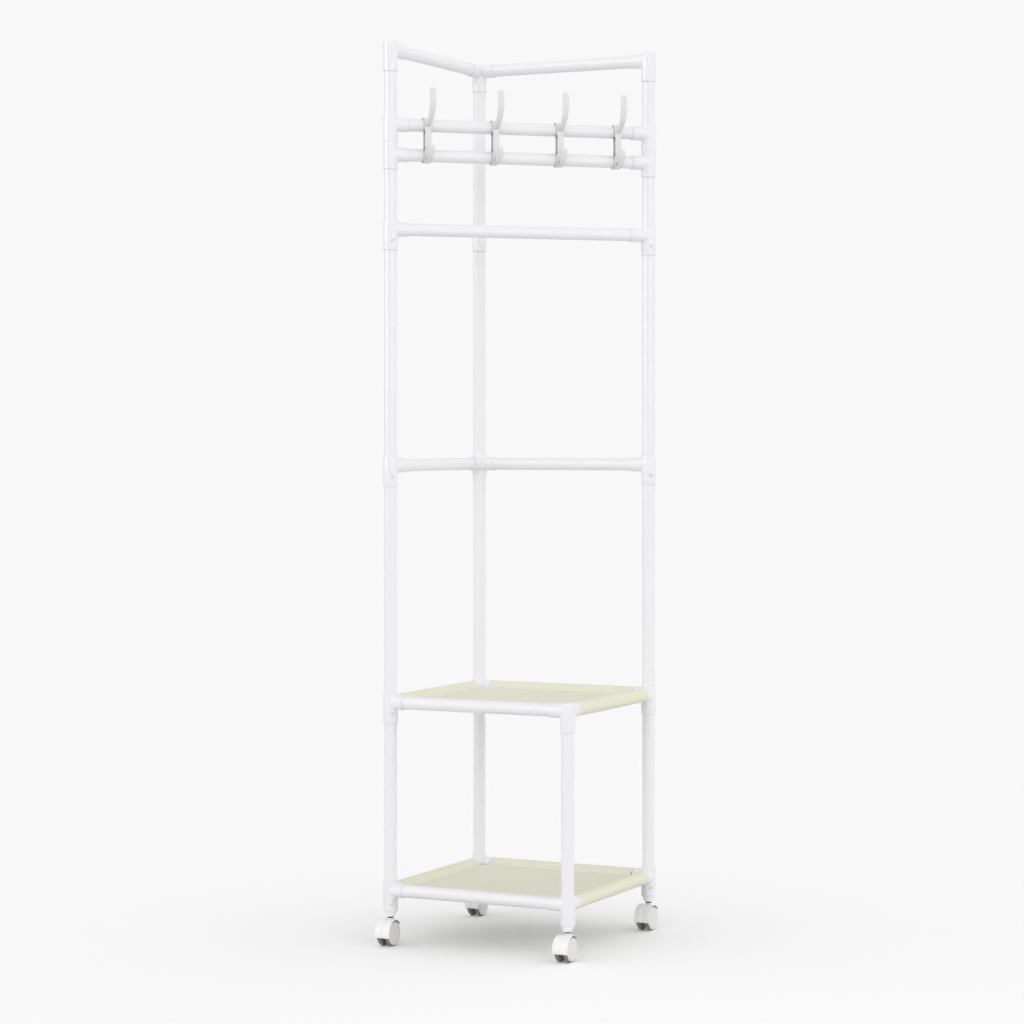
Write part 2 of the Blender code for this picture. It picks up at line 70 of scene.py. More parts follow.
def meshFrom(bm, name, sharpAngle=35):
    bmesh.ops.remove_doubles(bm, verts=bm.verts, dist=2e-6)
    bmesh.ops.recalc_face_normals(bm, faces=bm.faces)
    mesh = bpy.data.meshes.new(name)
    bm.to_mesh(mesh)
    bm.free()
    mesh.shade_smooth()
    mesh.set_sharp_from_angle(angle=math.radians(sharpAngle))
    return mesh


def skinRings(bm, rings, closed=False):
    # quads between neighbouring rings; a ring of one vertex makes a fan
    pairs = list(zip(rings, rings[1:])) + ([(rings[-1], rings[0])] if closed else [])
    count = max(len(ring) for ring in rings)
    for one, two in pairs:
        for i in range(count):
            j = (i + 1) % count
            corners = [one[i % len(one)], one[j % len(one)], two[j % len(two)], two[i % len(two)]]
            corners = list(dict.fromkeys(corners))
            if len(corners) > 2:
                bm.faces.new(corners)


def turned(name, profile, steps=48, closed=False):
    # (radius, height) points turned about local Z
    bm = bmesh.new()
    angles = [wholeTurn * i / steps for i in range(steps)]
    rings = []
    for radius, height in profile:
        if radius < 1e-7:
            rings.append([bm.verts.new((0.0, 0.0, height))])
        else:
            rings.append([bm.verts.new((radius * math.cos(a), radius * math.sin(a), height)) for a in angles])
    skinRings(bm, rings, closed)
    return meshFrom(bm, name)


def rod(radius, top, foot):
    # the profile of a plain round bar
    return [(0.0, top), (radius, top), (radius, foot), (0.0, foot)]


def bendAt(start, pull, end, t):
    # a point of the curve from start to end that is drawn towards pull
    return start * (1 - t) ** 2 + pull * 2 * t * (1 - t) + end * t * t


def softened(points, radii, steps=4):
    # the outline with the numbered corners rounded off
    made = []
    for i, point in enumerate(points):
        radius = radii.get(i, 0.0)
        if not radius:
            made.append(tuple(point))
            continue
        here, ends = Vector(point), []
        for neighbour in (points[i - 1], points[(i + 1) % len(points)]):
            away = Vector(neighbour) - here
            ends.append(here + away.normalized() * min(radius, away.length * 0.49))
        made += [tuple(bendAt(ends[0], here, ends[1], k / steps)) for k in range(steps + 1)]
    return made


def slab(name, outline, thickness, bevel=0.0, segments=3):
    # a flat outline in local XY, centred on z = 0, with its two rims rounded
    bm = bmesh.new()
    low = bm.faces.new([bm.verts.new((x, y, -thickness / 2)) for x, y in outline])
    raised = bmesh.ops.extrude_face_region(bm, geom=[low])["geom"]
    lifted = [v for v in raised if isinstance(v, bmesh.types.BMVert)]
    bmesh.ops.translate(bm, verts=lifted, vec=(0.0, 0.0, thickness))
    bmesh.ops.recalc_face_normals(bm, faces=bm.faces)
    if bevel:
        rims = [e for e in bm.edges if abs(e.verts[0].co.z - e.verts[1].co.z) < 1e-6]
        bmesh.ops.bevel(
            bm, geom=rims, offset=bevel, offset_type="OFFSET", segments=segments, profile=0.5,
            affect="EDGES", clamp_overlap=True,
        )
    return meshFrom(bm, name)


def applied(holder):
    # the holder's mesh with its modifiers, in place of the holder
    bpy.context.view_layer.update()
    made = bpy.data.meshes.new_from_object(holder.evaluated_get(bpy.context.evaluated_depsgraph_get()))
    bpy.data.objects.remove(holder, do_unlink=True)
    return made


def carved(name, base, steps):
    # a run of Boolean steps (operation, mesh, place) on the base mesh
    body = bpy.data.objects.new(name, base)
    scene.collection.objects.link(body)
    tools = []
    for i, (operation, mesh, place) in enumerate(steps):
        tool = bpy.data.objects.new(f"{name}_tool_{i}", mesh)
        scene.collection.objects.link(tool)
        tool.matrix_world = place
        cut = body.modifiers.new(f"step_{i}", "BOOLEAN")
        cut.operation = operation
        cut.solver = "EXACT"
        cut.object = tool
        tools.append(tool)
    shaped = applied(body)
    for tool in tools:
        bpy.data.objects.remove(tool, do_unlink=True)
    if not shaped.vertices:
        raise ValueError(name + " came out empty")
    bm = bmesh.new()
    bm.from_mesh(shaped)
    bmesh.ops.dissolve_degenerate(bm, edges=bm.edges, dist=1e-6)
    # close the odd sliver that the Boolean leaves open
    bmesh.ops.holes_fill(bm, edges=[edge for edge in bm.edges if edge.is_boundary], sides=4)
    return meshFrom(bm, name)


def turnZ(angle):
    return Matrix.Rotation(angle, 4, "Z")


def shift(x, y, z):
    return Matrix.Translation((x, y, z))


def at(side, height=0.0):
    return shift(posts[side].x, posts[side].y, height)


unmoved = Matrix.Identity(4)
layFlat = Matrix.Rotation(quarter, 4, "Y")        # local Z becomes X


def addPiece(name, mesh, look, place, body="frame", node=None):
    piece = bpy.data.objects.new(name, mesh)
    if not mesh.materials:
        mesh.materials.append(finish[look])
    stand.objects.link(piece)
    piece.matrix_world = place
    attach(piece, body)
    if node:
        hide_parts(node)
    return piece


# small shader tools

def newMaterial(name):
    material = bpy.data.materials.new(name)
    material.use_nodes = True
    return material, material.node_tree, material.node_tree.nodes["Principled BSDF"]


def newGroup(name, inputs, outputs):
    group = bpy.data.node_groups.new(name, "ShaderNodeTree")
    for label, value in inputs.items():
        group.interface.new_socket(label, in_out="INPUT", socket_type="NodeSocketFloat").default_value = value
    for label in outputs:
        group.interface.new_socket(label, in_out="OUTPUT", socket_type="NodeSocketFloat")
    return group, group.nodes.new("NodeGroupInput"), group.nodes.new("NodeGroupOutput")


def setInputs(tree, node, values):
    # each value is another node's socket, to link, or a plain number or colour
    for key, value in values.items():
        if isinstance(value, bpy.types.NodeSocket):
            tree.links.new(value, node.inputs[key])
        else:
            node.inputs[key].default_value = value


def put(tree, kind, values=None, **settings):
    node = tree.nodes.new("ShaderNode" + kind)
    for key, value in settings.items():
        setattr(node, key, value)
    setInputs(tree, node, values or {})
    return node


def placeGroup(tree, group, **values):
    return put(tree, "Group", values, node_tree=group)


def calc(tree, operation, *values):
    return put(tree, "Math", dict(enumerate(values)), operation=operation).outputs[0]


def times(tree, one, two):
    return calc(tree, "MULTIPLY", one, two)


def blended(tree, factor, first, second):
    # sockets 0, 6 and 7 of a Mix node are its colour inputs
    first, second = ((*c, 1.0) if isinstance(c, tuple) else c for c in (first, second))
    return put(tree, "Mix", {0: factor, 6: first, 7: second}, data_type="RGBA").outputs[2]


def ranged(tree, value, fromLow, fromHigh, low=0.0, high=1.0):
    return put(tree, "MapRange", {
        "Value": value, "From Min": fromLow, "From Max": fromHigh, "To Min": low, "To Max": high,
    }).outputs["Result"]


def coords(tree, kind="Object"):
    return put(tree, "TexCoord").outputs[kind]


def noise(tree, spot, scale, detail, rough=0.5):
    return put(tree, "TexNoise", {"Vector": spot, "Scale": scale, "Detail": detail, "Roughness": rough}).outputs[0]


# fine relief, broad tone and patchy gloss of a moulded or sprayed surface
grainGroup, gIn, gOut = newGroup("sprayedGrain", {"Scale": 900.0, "Blotch": 16.0}, ("Height", "Tone", "Patch"))
spot, blotch = coords(grainGroup), gIn.outputs["Blotch"]
broad = noise(grainGroup, spot, blotch, 4.0, 0.6)
patchy = noise(grainGroup, spot, times(grainGroup, blotch, 5.3), 5.0, 0.65)
setInputs(grainGroup, gOut, {
    "Height": noise(grainGroup, spot, gIn.outputs["Scale"], 3.0, 0.55),
    "Tone": ranged(grainGroup, broad, 0.32, 0.68), "Patch": ranged(grainGroup, patchy, 0.3, 0.7),
})

# edges rubbed by handling, broken up by noise
rubGroup, rIn, rOut = newGroup("rubbedEdges", {"Start": 0.53, "End": 0.6, "Break": 260.0}, ("Rub",))
point = put(rubGroup, "NewGeometry").outputs["Pointiness"]
edge = ranged(rubGroup, point, rIn.outputs["Start"], rIn.outputs["End"])
crumb = noise(rubGroup, coords(rubGroup), rIn.outputs["Break"], 4.0)
setInputs(rubGroup, rOut, {"Rub": times(rubGroup, edge, ranged(rubGroup, crumb, 0.42, 0.62))})

# house dust, on what faces up
dustGroup, dIn, dOut = newGroup("settledDust", {"Scale": 70.0}, ("Dust",))
upward = put(dustGroup, "SeparateXYZ", {"Vector": put(dustGroup, "NewGeometry").outputs["Normal"]}).outputs["Z"]
flock = noise(dustGroup, coords(dustGroup), dIn.outputs["Scale"], 6.0)
lies, clumps = ranged(dustGroup, upward, 0.35, 1.0), ranged(dustGroup, flock, 0.38, 0.72)
setInputs(dustGroup, dOut, {"Dust": times(dustGroup, lies, clumps)})

# plain weave over a UV map that is in metres
weaveGroup, wIn, wOut = newGroup("plainWeave", {"Threads": 900.0, "Slub": 60.0}, ("Height", "Thread", "Slubs"))
onCloth = coords(weaveGroup, "UV")
flat = put(weaveGroup, "SeparateXYZ", {"Vector": onCloth})
turns = times(weaveGroup, wIn.outputs["Threads"], math.pi)
warp, weft = (calc(weaveGroup, "SINE", times(weaveGroup, flat.outputs[axis], turns)) for axis in "XY")
cross = times(weaveGroup, warp, weft)
ribs = calc(weaveGroup, "ADD", calc(weaveGroup, "ABSOLUTE", warp), calc(weaveGroup, "ABSOLUTE", weft))
stretch = put(weaveGroup, "Mapping", {"Vector": onCloth, "Scale": (1.0, 9.0, 1.0)}).outputs[0]
slubs = noise(weaveGroup, stretch, wIn.outputs["Slub"], 5.0)
setInputs(weaveGroup, wOut, {
    "Height": calc(weaveGroup, "ADD", times(weaveGroup, cross, 0.35), times(weaveGroup, ribs, 0.3)),
    "Thread": ranged(weaveGroup, cross, -1.0, 1.0), "Slubs": ranged(weaveGroup, slubs, 0.35, 0.65),
})

# what all finishes share: colours of dust and of the painted shade in a gap, scales of the patches and rubs, dulling,
# relief
surface = {
    "dust": (0.6, 0.58, 0.54), "gapShade": (0.2, 0.2, 0.21), "blotch": 16.0, "break": 260.0,
    "wornRough": 0.2, "depth": 0.0004,
}


def makeFinish(name, look):
    # paint, plastic, rubber or steel: two close tones, rubbed edges, dust, patchy gloss and fine relief
    material, tree, shader = newMaterial(name)
    grain = placeGroup(tree, grainGroup, Scale=look["grain"], Blotch=surface["blotch"])
    worn = times(tree, placeGroup(tree, rubGroup, Break=surface["break"]).outputs["Rub"], look["wear"])
    dusty = times(tree, placeGroup(tree, dustGroup).outputs["Dust"], look["dust"])
    colour = blended(tree, grain.outputs["Tone"], look["colour"], look["shade"])
    colour = blended(tree, worn, colour, look["wearColour"])
    colour = blended(tree, dusty, colour, surface["dust"])
    if "crease" in look:
        # painted shade: ambient occlusion darkens the colour in the gaps and hollows where pieces meet
        share, reach, shut, wide = look["crease"]
        gapShade = put(tree, "AmbientOcclusion", {"Distance": reach}, samples=4).outputs["AO"]
        colour = blended(tree, times(tree, ranged(tree, gapShade, shut, wide, 1.0, 0.0), share), colour, surface["gapShade"])
    coat = look.get("coat", 0.0)
    if "rim" in look:
        # less gloss where the surface turns away
        facing = put(tree, "LayerWeight", {"Blend": 0.5}).outputs["Facing"]
        coat = ranged(tree, facing, *look["rim"], coat, 0.0)
    rough = ranged(tree, grain.outputs["Patch"], 0.0, 1.0, *look["rough"])
    bump = put(tree, "Bump", {
        "Strength": look["relief"], "Distance": surface["depth"], "Height": grain.outputs["Height"],
    })
    setInputs(tree, shader, {
        "Base Color": colour, "Normal": bump.outputs["Normal"], "Coat Weight": coat,
        "Roughness": calc(tree, "ADD", rough, times(tree, worn, surface["wornRough"])),
        "Metallic": look.get("metal", 0.0), "Coat Roughness": look.get("coatRough", 0.1),
        "Specular IOR Level": look.get("specular", 0.5),
    })
    return material


glossyWhite = {"coat": 1.0, "coatRough": 0.2, "specular": 0.1, "rim": (0.45, 0.85)}
# the painted crease shade is its share, its reach, and how open a gap has to be to start and to lose its painted
# shade
finishes = {
    # steel pipe, sprayed and baked
    "pipeWhite": {
        "colour": (0.853, 0.851, 0.868), "shade": (0.843, 0.841, 0.858), "rough": (0.272, 0.288), "grain": 700.0,
        "relief": 0.012, "wear": 0.12, "wearColour": (0.72, 0.72, 0.72), "dust": 0.04,
        # painted shade on the pipes close against the joints and other pieces
        "crease": (0.3, 0.0015, 0.2, 0.7), **glossyWhite,
    },
    # moulded joints
    "jointWhite": {
        "colour": (0.857, 0.855, 0.871), "shade": (0.846, 0.844, 0.859), "rough": (0.29, 0.32), "grain": 1300.0,
        "relief": 0.02, "wear": 0.15, "wearColour": (0.78, 0.78, 0.77), "dust": 0.05, **glossyWhite,
    },
    # the hooks are a shade greyer
    "hookWhite": {
        "colour": (0.765, 0.761, 0.762), "shade": (0.753, 0.749, 0.75), "rough": (0.28, 0.36), "grain": 1300.0,
        "relief": 0.02, "wear": 0.2, "wearColour": (0.76, 0.75, 0.72), "dust": 0.05, "specular": 0.25,
        # painted shade at full strength darkens the cored-out sides, the space between the rails and the prongs'
        # roots
        "crease": (1.0, 0.011, 0.37, 0.76),
    },
    "casterWhite": {
        "colour": (0.91, 0.91, 0.907), "shade": (0.895, 0.895, 0.892), "rough": (0.3, 0.38), "grain": 1500.0,
        "relief": 0.02, "wear": 0.25, "wearColour": (0.74, 0.73, 0.71), "dust": 0.08,
        # painted shade where the hood, wheels, stem and plug close in on each other
        "crease": (0.6, 0.0025, 0.2, 0.7),
    },
    "discGrey": {
        "colour": (0.78, 0.768, 0.755), "shade": (0.765, 0.752, 0.74), "rough": (0.34, 0.44), "grain": 1500.0,
        "relief": 0.025, "wear": 0.3, "wearColour": (0.55, 0.54, 0.52), "dust": 0.08,
    },
    "treadGrey": {
        "colour": (0.2, 0.195, 0.19), "shade": (0.23, 0.225, 0.22), "rough": (0.45, 0.6), "grain": 1800.0,
        "relief": 0.15, "wear": 0.5, "wearColour": (0.28, 0.275, 0.27), "dust": 0.25,
    },
    "stemSteel": {
        "colour": (0.075, 0.077, 0.082), "shade": (0.1, 0.1, 0.105), "rough": (0.3, 0.45), "grain": 2200.0,
        "relief": 0.05, "wear": 0.5, "wearColour": (0.32, 0.32, 0.33), "dust": 0.05, "metal": 0.8,
    },
    "screwSteel": {
        "colour": (0.76, 0.735, 0.72), "shade": (0.7, 0.68, 0.665), "rough": (0.3, 0.42), "grain": 2600.0,
        "relief": 0.06, "wear": 0.4, "wearColour": (0.55, 0.53, 0.51), "dust": 0.05, "metal": 0.15,
    },
    "threadCream": {
        "colour": (0.72, 0.71, 0.57), "shade": (0.68, 0.67, 0.53), "rough": (0.6, 0.75), "grain": 4000.0,
        "relief": 0.2, "wear": 0.1, "wearColour": (0.75, 0.74, 0.62), "dust": 0.05,
    },
}
# a shaded copy of the pipe finish: less coat, so the rear post shows less of the lamps' shine
finishes["rearWhiteShaded"] = {**finishes["pipeWhite"], "coat": 0.25}
finish = {name: makeFinish(name, look) for name, look in finishes.items()}
print("finishes made:", ", ".join(finish))


pipeShape = {"radius": 0.0127, "wall": 0.0012, "inset": 0.015, "endRound": 0.0004, "endLoop": 0.002, "turns": 48}


def pipeMesh(name, length):
    radius, inner = pipeShape["radius"], pipeShape["radius"] - pipeShape["wall"]
    near, far = pipeShape["endLoop"], length - pipeShape["endLoop"]
    outline = [(radius, length), (radius, far), (radius, length / 2), (radius, near), (radius, 0.0)]
    outline += [(inner, 0.0), (inner, near), (inner, far), (inner, length)]
    ends = {corner: pipeShape["endRound"] for corner in (0, 4, 5, 8)}
    return turned(name, softened(outline, ends, 2), pipeShape["turns"], closed=True)


def addRail(node, start, end, height):
    run = posts[end] - posts[start]
    inset = pipeShape["inset"]
    origin = posts[start] + run.normalized() * inset
    place = shift(origin.x, origin.y, height) @ turnZ(math.atan2(run.y, run.x)) @ layFlat
    addPiece(node + "_pipe", pipeMesh(node, run.length - 2 * inset), "pipeWhite", place, node=node)


for node, start, end, level in (
    ("top_rail_left", "left", "rear", "top"), ("top_rail_right", "rear", "right", "top"),
    ("hook_rail_upper", "left", "right", "hook"), ("hook_rail_lower", "left", "right", "hookLower"),
    ("coat_rail", "left", "right", "coat"),
    ("mid_rail_left", "left", "rear", "mid"), ("mid_rail_right", "rear", "right", "mid"),
):
    addRail(node, start, end, heights[level])
for shelf in ("upper", "lower"):
    for corner, start, end in (
        ("front_left", "left", "front"), ("front_right", "front", "right"),
        ("rear_left", "left", "rear"), ("rear_right", "rear", "right"),
    ):
        addRail(f"{shelf}_shelf_rail_{corner}", start, end, heights[shelf + "Shelf"])

# the domed end plug in the foot of each post takes the caster's stem
plugShape = {
    "lip": 0.0074, "radius": 0.0113, "collarTop": 0.0573, "sleeveEnd": 0.0685, "bore": 0.00405, "depth": 0.0757,
    "tail": 0.02, "domeSteps": 10,
}


def plugMesh():
    p = plugShape
    line = [(0.0, p["depth"]), (p["bore"], p["depth"]), (p["bore"], p["collarTop"])]
    for i in range(p["domeSteps"] + 1):
        a = quarter * i / p["domeSteps"]
        line.append((
            p["lip"] + (p["radius"] - p["lip"]) * math.sin(a),
            p["sleeveEnd"] - (p["sleeveEnd"] - p["collarTop"]) * math.cos(a),
        ))
    end = p["sleeveEnd"] + p["tail"]
    return turned("end_plug", line + [(p["radius"], end), (0.0, end)])


plug, foot = plugMesh(), plugShape["sleeveEnd"]
for side in sides:
    node = "post_" + side
    pipe = pipeMesh(node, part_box(node)[1].z - foot)
    # the rear post takes the shaded copy with less shine
    addPiece(node + "_pipe", pipe, "rearWhiteShaded" if side == "rear" else "pipeWhite", at(side, foot), node=node)
    addPiece(node + "_plug", plug, "casterWhite", at(side))
print("pipes made")


# moulded joints: a sleeve on the post with socket arms for the rails
jointShape = {
    "sleeve": 0.0147, "arm": 0.0144, "bore": 0.013, "turns": 64,
    "flare": 0.003, "flareSteps": 40,        # how far the moulded fillet runs along the arm and the sleeve
    "flareEdge": 0.0009,        # the fillet stays this far from the sleeve's ends
    "rootIn": 0.00008, "core": 0.55,        # the fillet ends just inside the sleeve's skin, then the arm tapers
    "rim": 0.0007, "armRim": 0.0011, "boreRim": 0.0003,
    # a ball fills the fold between two arms, a little off their plane for the Boolean
    "ball": 0.0157, "ballPlace": (0.0072, 0.00006, 0.00004), "ballTurns": 43, "ballRings": 24,
    "ballTwist": 0.017,
    "seam": 0.0008, "seamDrop": 0.0346, "bandNick": 0.0005, "band": 0.005,
    "over": 0.004,        # the cutters run past the ends by this
    "coupling": 0.05,
}


def armMesh(name, reach, above, below):
    # a socket arm along X whose root flares into the sleeve
    j = jointShape
    arm, flare, rim = j["arm"], j["flare"], j["armRim"]
    shell, step = j["sleeve"] - j["rootIn"], flare / j["flareSteps"]
    tip = []
    for share in (0.0, 0.35, 0.7, 1.0):
        turn = quarter * share
        tip.append((reach - rim + rim * math.cos(turn), arm - rim + rim * math.sin(turn)))
    columns = []
    for k in range(j["turns"]):
        phi = wholeTurn * k / j["turns"]
        up, across = math.cos(phi), math.sin(phi)
        root = math.sqrt(max(shell ** 2 - (arm * across) ** 2, 0.0))
        out, rise, walked = root, arm, 0.0
        while walked < flare:        # walk up the sleeve's surface
            slope = Vector((-rise * across * across, out)).normalized()
            height = (rise + slope.y * step) * up
            if height > above - j["flareEdge"] or -height > below - j["flareEdge"]:
                break
            out, rise, walked = out + slope.x * step, rise + slope.y * step, walked + step
        start, pull, end = Vector((root + flare, arm)), Vector((root, arm)), Vector((out, rise))
        column = tip + [tuple(bendAt(start, pull, end, i / 8)) for i in range(9)]
        column.append((end.x * j["core"], end.y * j["core"]))
        columns.append([(x, radius * across, radius * up) for x, radius in column])
    bm = bmesh.new()
    rings = [[bm.verts.new((reach, 0.0, 0.0))]]
    rings += [[bm.verts.new(spot) for spot in ring] for ring in zip(*columns)]
    rings.append([bm.verts.new((0.001, 0.0, 0.0))])
    skinRings(bm, rings)
    return meshFrom(bm, name)


def jointMesh(name, above, below, arms, boreTop=None, rounding=None, seam=False, band=False, ball=False):
    j = jointShape
    sleeve, bore, turns, rim, over = (j[key] for key in ("sleeve", "bore", "turns", "rim", "over"))
    outline = [(0.0, above), (sleeve, above)]
    radii = {1: rounding or rim}
    lines = [(above - j["band"], j["bandNick"])] if band else []
    lines += [(-j["seamDrop"], j["seam"])] if seam else []
    for height, nick in lines:
        outline += [(sleeve, height + nick), (sleeve - nick, height), (sleeve, height - nick)]
    radii[len(outline)] = rim
    outline += [(sleeve, -below), (0.0, -below)]
    base = turned(name + "_sleeve", softened(outline, radii, 5), turns)
    steps = []
    if ball:
        size, many = j["ball"], j["ballRings"]
        angles = [math.pi * i / many for i in range(1, many)]
        arc = [(size * math.sin(a), size * math.cos(a)) for a in angles]
        knuckle = turned(name + "_ball", [(0.0, size), *arc, (0.0, -size)], j["ballTurns"])
        steps.append(("UNION", knuckle, shift(*j["ballPlace"]) @ turnZ(j["ballTwist"])))
    for i, (angle, reach, height) in enumerate(arms):
        arm = armMesh(f"{name}_arm_{i}", reach, above - height, below + height)
        steps.append(("UNION", arm, shift(0.0, 0.0, height) @ turnZ(angle)))
    for i, (angle, reach, height) in enumerate(arms):
        socket = turned(f"{name}_socket_{i}", rod(bore, reach + over, sleeve), turns)
        steps.append(("DIFFERENCE", socket, shift(0.0, 0.0, height) @ turnZ(angle) @ layFlat))
    through = turned(name + "_bore", rod(bore, above + over if boreTop is None else boreTop, -below - over), turns)
    return carved(name, base, steps + [("DIFFERENCE", through, unmoved)])


def fork(right, left):
    return [(-eighth, right, 0.0), (eighth, left, 0.0)]


def tee(reach):
    return [(0.0, reach, 0.0)]


def stacked(reach):
    return [(0.0, reach, 0.0), (0.0, reach, -hookDrop)]


# how far a sleeve reaches above and below its arms, then the lengths of the arms
plain, capped, double = (0.0185, 0.0415), (0.0165, 0.0435), (0.0192, hookDrop + 0.0292)
cap = {"boreTop": 0.0135, "rounding": 0.002}
jointMeshes = {
    "corner": jointMesh("corner_joint", *plain, fork(0.032, 0.032)),
    "lowerCorner": jointMesh("lower_corner", *plain, fork(0.032, 0.032), band=True),
    "lowerFront": jointMesh("lower_front", *plain, fork(0.034, 0.038), band=True),
    "cappedCorner": jointMesh("capped_corner", 0.0152, 0.0415, fork(0.034, 0.038), boreTop=0.0122, rounding=0.003),
    "midCorner": jointMesh("mid_corner", 0.0185, 0.034, fork(0.0395, 0.0376), ball=True),
    "elbow": jointMesh("top_elbow", 0.0141, 0.0435, fork(0.0455, 0.036), boreTop=0.0, rounding=0.006),
    "leftTee": jointMesh("left_tee", *plain, tee(0.052)),
    "rightTee": jointMesh("right_tee", *plain, tee(0.039)),
    "cappedLeftTee": jointMesh("capped_left_tee", *capped, tee(0.052), **cap),
    "cappedRightTee": jointMesh("capped_right_tee", *capped, tee(0.04), **cap),
    "coatLeft": jointMesh("coat_left", *plain, tee(0.0358)),
    "coatRight": jointMesh("coat_right", *plain, tee(0.041)),
    "hookLeft": jointMesh("hook_left", *double, stacked(0.0365), seam=True),
    "hookRight": jointMesh("hook_right", *double, stacked(0.0381), seam=True),
}
sleeve, bore, half = jointShape["sleeve"], jointShape["bore"], jointShape["coupling"] / 2
rim, boreRim = jointShape["rim"], jointShape["boreRim"]
coupling = softened(
    [(sleeve, half), (sleeve, -half), (bore, -half), (bore, half)], {0: rim, 1: rim, 2: boreRim, 3: boreRim}, 4,
)
jointMeshes["coupling"] = turned("coupling", coupling, jointShape["turns"], closed=True)

# node, kind, post, level, eighths of a turn
jointRows = [
    ("top_joint_left", "cappedLeftTee", "left", "top", 1),
    ("top_joint_right", "cappedRightTee", "right", "top", 3),
    ("top_joint_rear", "elbow", "rear", "top", -2),
    ("hook_tees_left", "hookLeft", "left", "hook", 0),
    ("hook_tees_right", "hookRight", "right", "hook", 4),
    ("coat_tee_left", "coatLeft", "left", "coat", 0),
    ("coat_tee_right", "coatRight", "right", "coat", 4),
    ("post_coupling_rear", "coupling", "rear", "coupling", 0),
    ("mid_tee_left", "leftTee", "left", "mid", 1),
    ("mid_tee_right", "rightTee", "right", "mid", 3),
    ("mid_joint_rear", "midCorner", "rear", "mid", -2),
]
for shelf, kind, frontKind in (("upper", "corner", "cappedCorner"), ("lower", "lowerCorner", "lowerFront")):
    for side, turn in (("left", 0), ("right", 4), ("rear", -2), ("front", 2)):
        form = frontKind if side == "front" else kind
        jointRows.append((f"{shelf}_shelf_joint_{side}", form, side, shelf + "Shelf", turn))
for node, kind, side, level, turn in jointRows:
    place = at(side, heights[level]) @ turnZ(turn * eighth)
    addPiece(node + "_moulding", jointMeshes[kind], "jointWhite", place, node=node)
print("joints made")


# cross-head screws in the sleeves
screwShape = {
    "radius": 0.0032, "height": 0.0013, "shoulder": 0.75, "shoulderRound": 0.0008, "under": 0.0006, "sunk": 0.0002,
    "slotWide": 0.0008, "slotLong": 0.0036, "slotDeep": 0.0014,
    "rearFace": (-0.9, -0.43),        # the rear post's screws face the room past the left post
}
tall, girth, under = screwShape["height"], screwShape["radius"], -screwShape["under"]
head = softened(
    [(0.0, tall), (girth, tall * screwShape["shoulder"]), (girth, under), (0.0, under)],
    {1: screwShape["shoulderRound"]}, 4,
)
u, v = screwShape["slotLong"] / 2, screwShape["slotWide"] / 2
blade = slab("screw_slot", [(-u, -v), (u, -v), (u, v), (-u, v)], screwShape["slotDeep"])
screwMesh = carved("screw_head", turned("screw_turned", head, 24), [
    ("DIFFERENCE", blade, shift(0.0, 0.0, tall)), ("DIFFERENCE", blade, shift(0.0, 0.0, tall) @ turnZ(quarter)),
])
roomward = -quarter        # the screws of the left and right posts face the room
rearward = math.atan2(screwShape["rearFace"][1], screwShape["rearFace"][0])
for name, side, level, drop, angle in (
    ("coat_left", "left", "coat", 0.0222, roomward),
    ("coat_right", "right", "coat", 0.0222, roomward),
    ("mid_left", "left", "mid", 0.0222, roomward),
    ("mid_right", "right", "mid", 0.0222, roomward),
    ("mid_rear", "rear", "mid", 0.0215, rearward),
    ("top_rear", "rear", "top", 0.024, rearward),
    ("upper_left", "left", "upperShelf", 0.0225, roomward),
    ("lower_left", "left", "lowerShelf", 0.0203, roomward + 0.1),
    ("lower_left_second", "left", "lowerShelf", 0.027, roomward - 0.1),
    ("lower_right", "right", "lowerShelf", 0.0225, roomward),
):
    onSleeve = shift(jointShape["sleeve"] - screwShape["sunk"], 0.0, 0.0) @ layFlat
    addPiece("screw_" + name, screwMesh, "screwSteel", at(side, heights[level] - drop) @ turnZ(angle) @ onSleeve)
print("screws made")


# clip-on coat hooks
hookShape = {
    "width": 0.0134, "clipInner": 0.0131, "clipOuter": 0.0156, "clipReach": 200.0, "spineSide": 70.0,
    "spineFront": 0.019, "thick": 0.0064, "edge": 0.001,
    # corners of the spine: from its face and the upper rail's axis, then from its face and the lower clip's foot
    "head": ((-0.0012, 0.0035), (0.0, -0.001)), "heel": 0.006, "toe": ((-0.0018, 0.0045), (-0.006, 0.0005)),
    # bends of the two prongs: out from the spine's face and up from the rail's axis
    "longBends": (
        (-0.004, -0.0015), (0.006, 0.0025), (0.0165, 0.0115), (0.0265, 0.0255), (0.0308, 0.041), (0.0308, 0.056),
        (0.0296, 0.0692),
    ),
    "shortBends": (
        (-0.004, -0.012), (0.0065, -0.0105), (0.0155, -0.0045), (0.021, 0.0045), (0.0233, 0.0105), (0.0243, 0.0174),
    ),
    "prongWidth": 0.0127, "shortSlimmer": 0.0005, "rootWidth": (0.8, 0.2), "tipRound": 0.0068, "around": 32,
    # the cored-out sides between the rails: front wall, back wall, wall to the rails, depth
    "core": (0.0014, 0.0007, 0.0008, 0.0056), "coreBend": 0.66,
}


def arcPoints(centre, radius, startDeg, endDeg, count):
    angles = [math.radians(startDeg + (endDeg - startDeg) * i / count) for i in range(count + 1)]
    return [(centre[0] + radius * math.cos(a), centre[1] + radius * math.sin(a)) for a in angles]


def smoothLine(points, steps):
    # a curve through the points
    ends = [points[0] * 2 - points[1], *points, points[-1] * 2 - points[-2]]
    line = []
    for a, b, c, d in zip(ends, ends[1:], ends[2:], ends[3:]):
        square, cube = a * 2 - b * 5 + c * 4 - d, b * 3 - a - c * 3 + d
        for i in range(steps):
            t = i / steps
            line.append(0.5 * (b * 2 + (c - a) * t + square * t * t + cube * t ** 3))
    return line + [points[-1]]


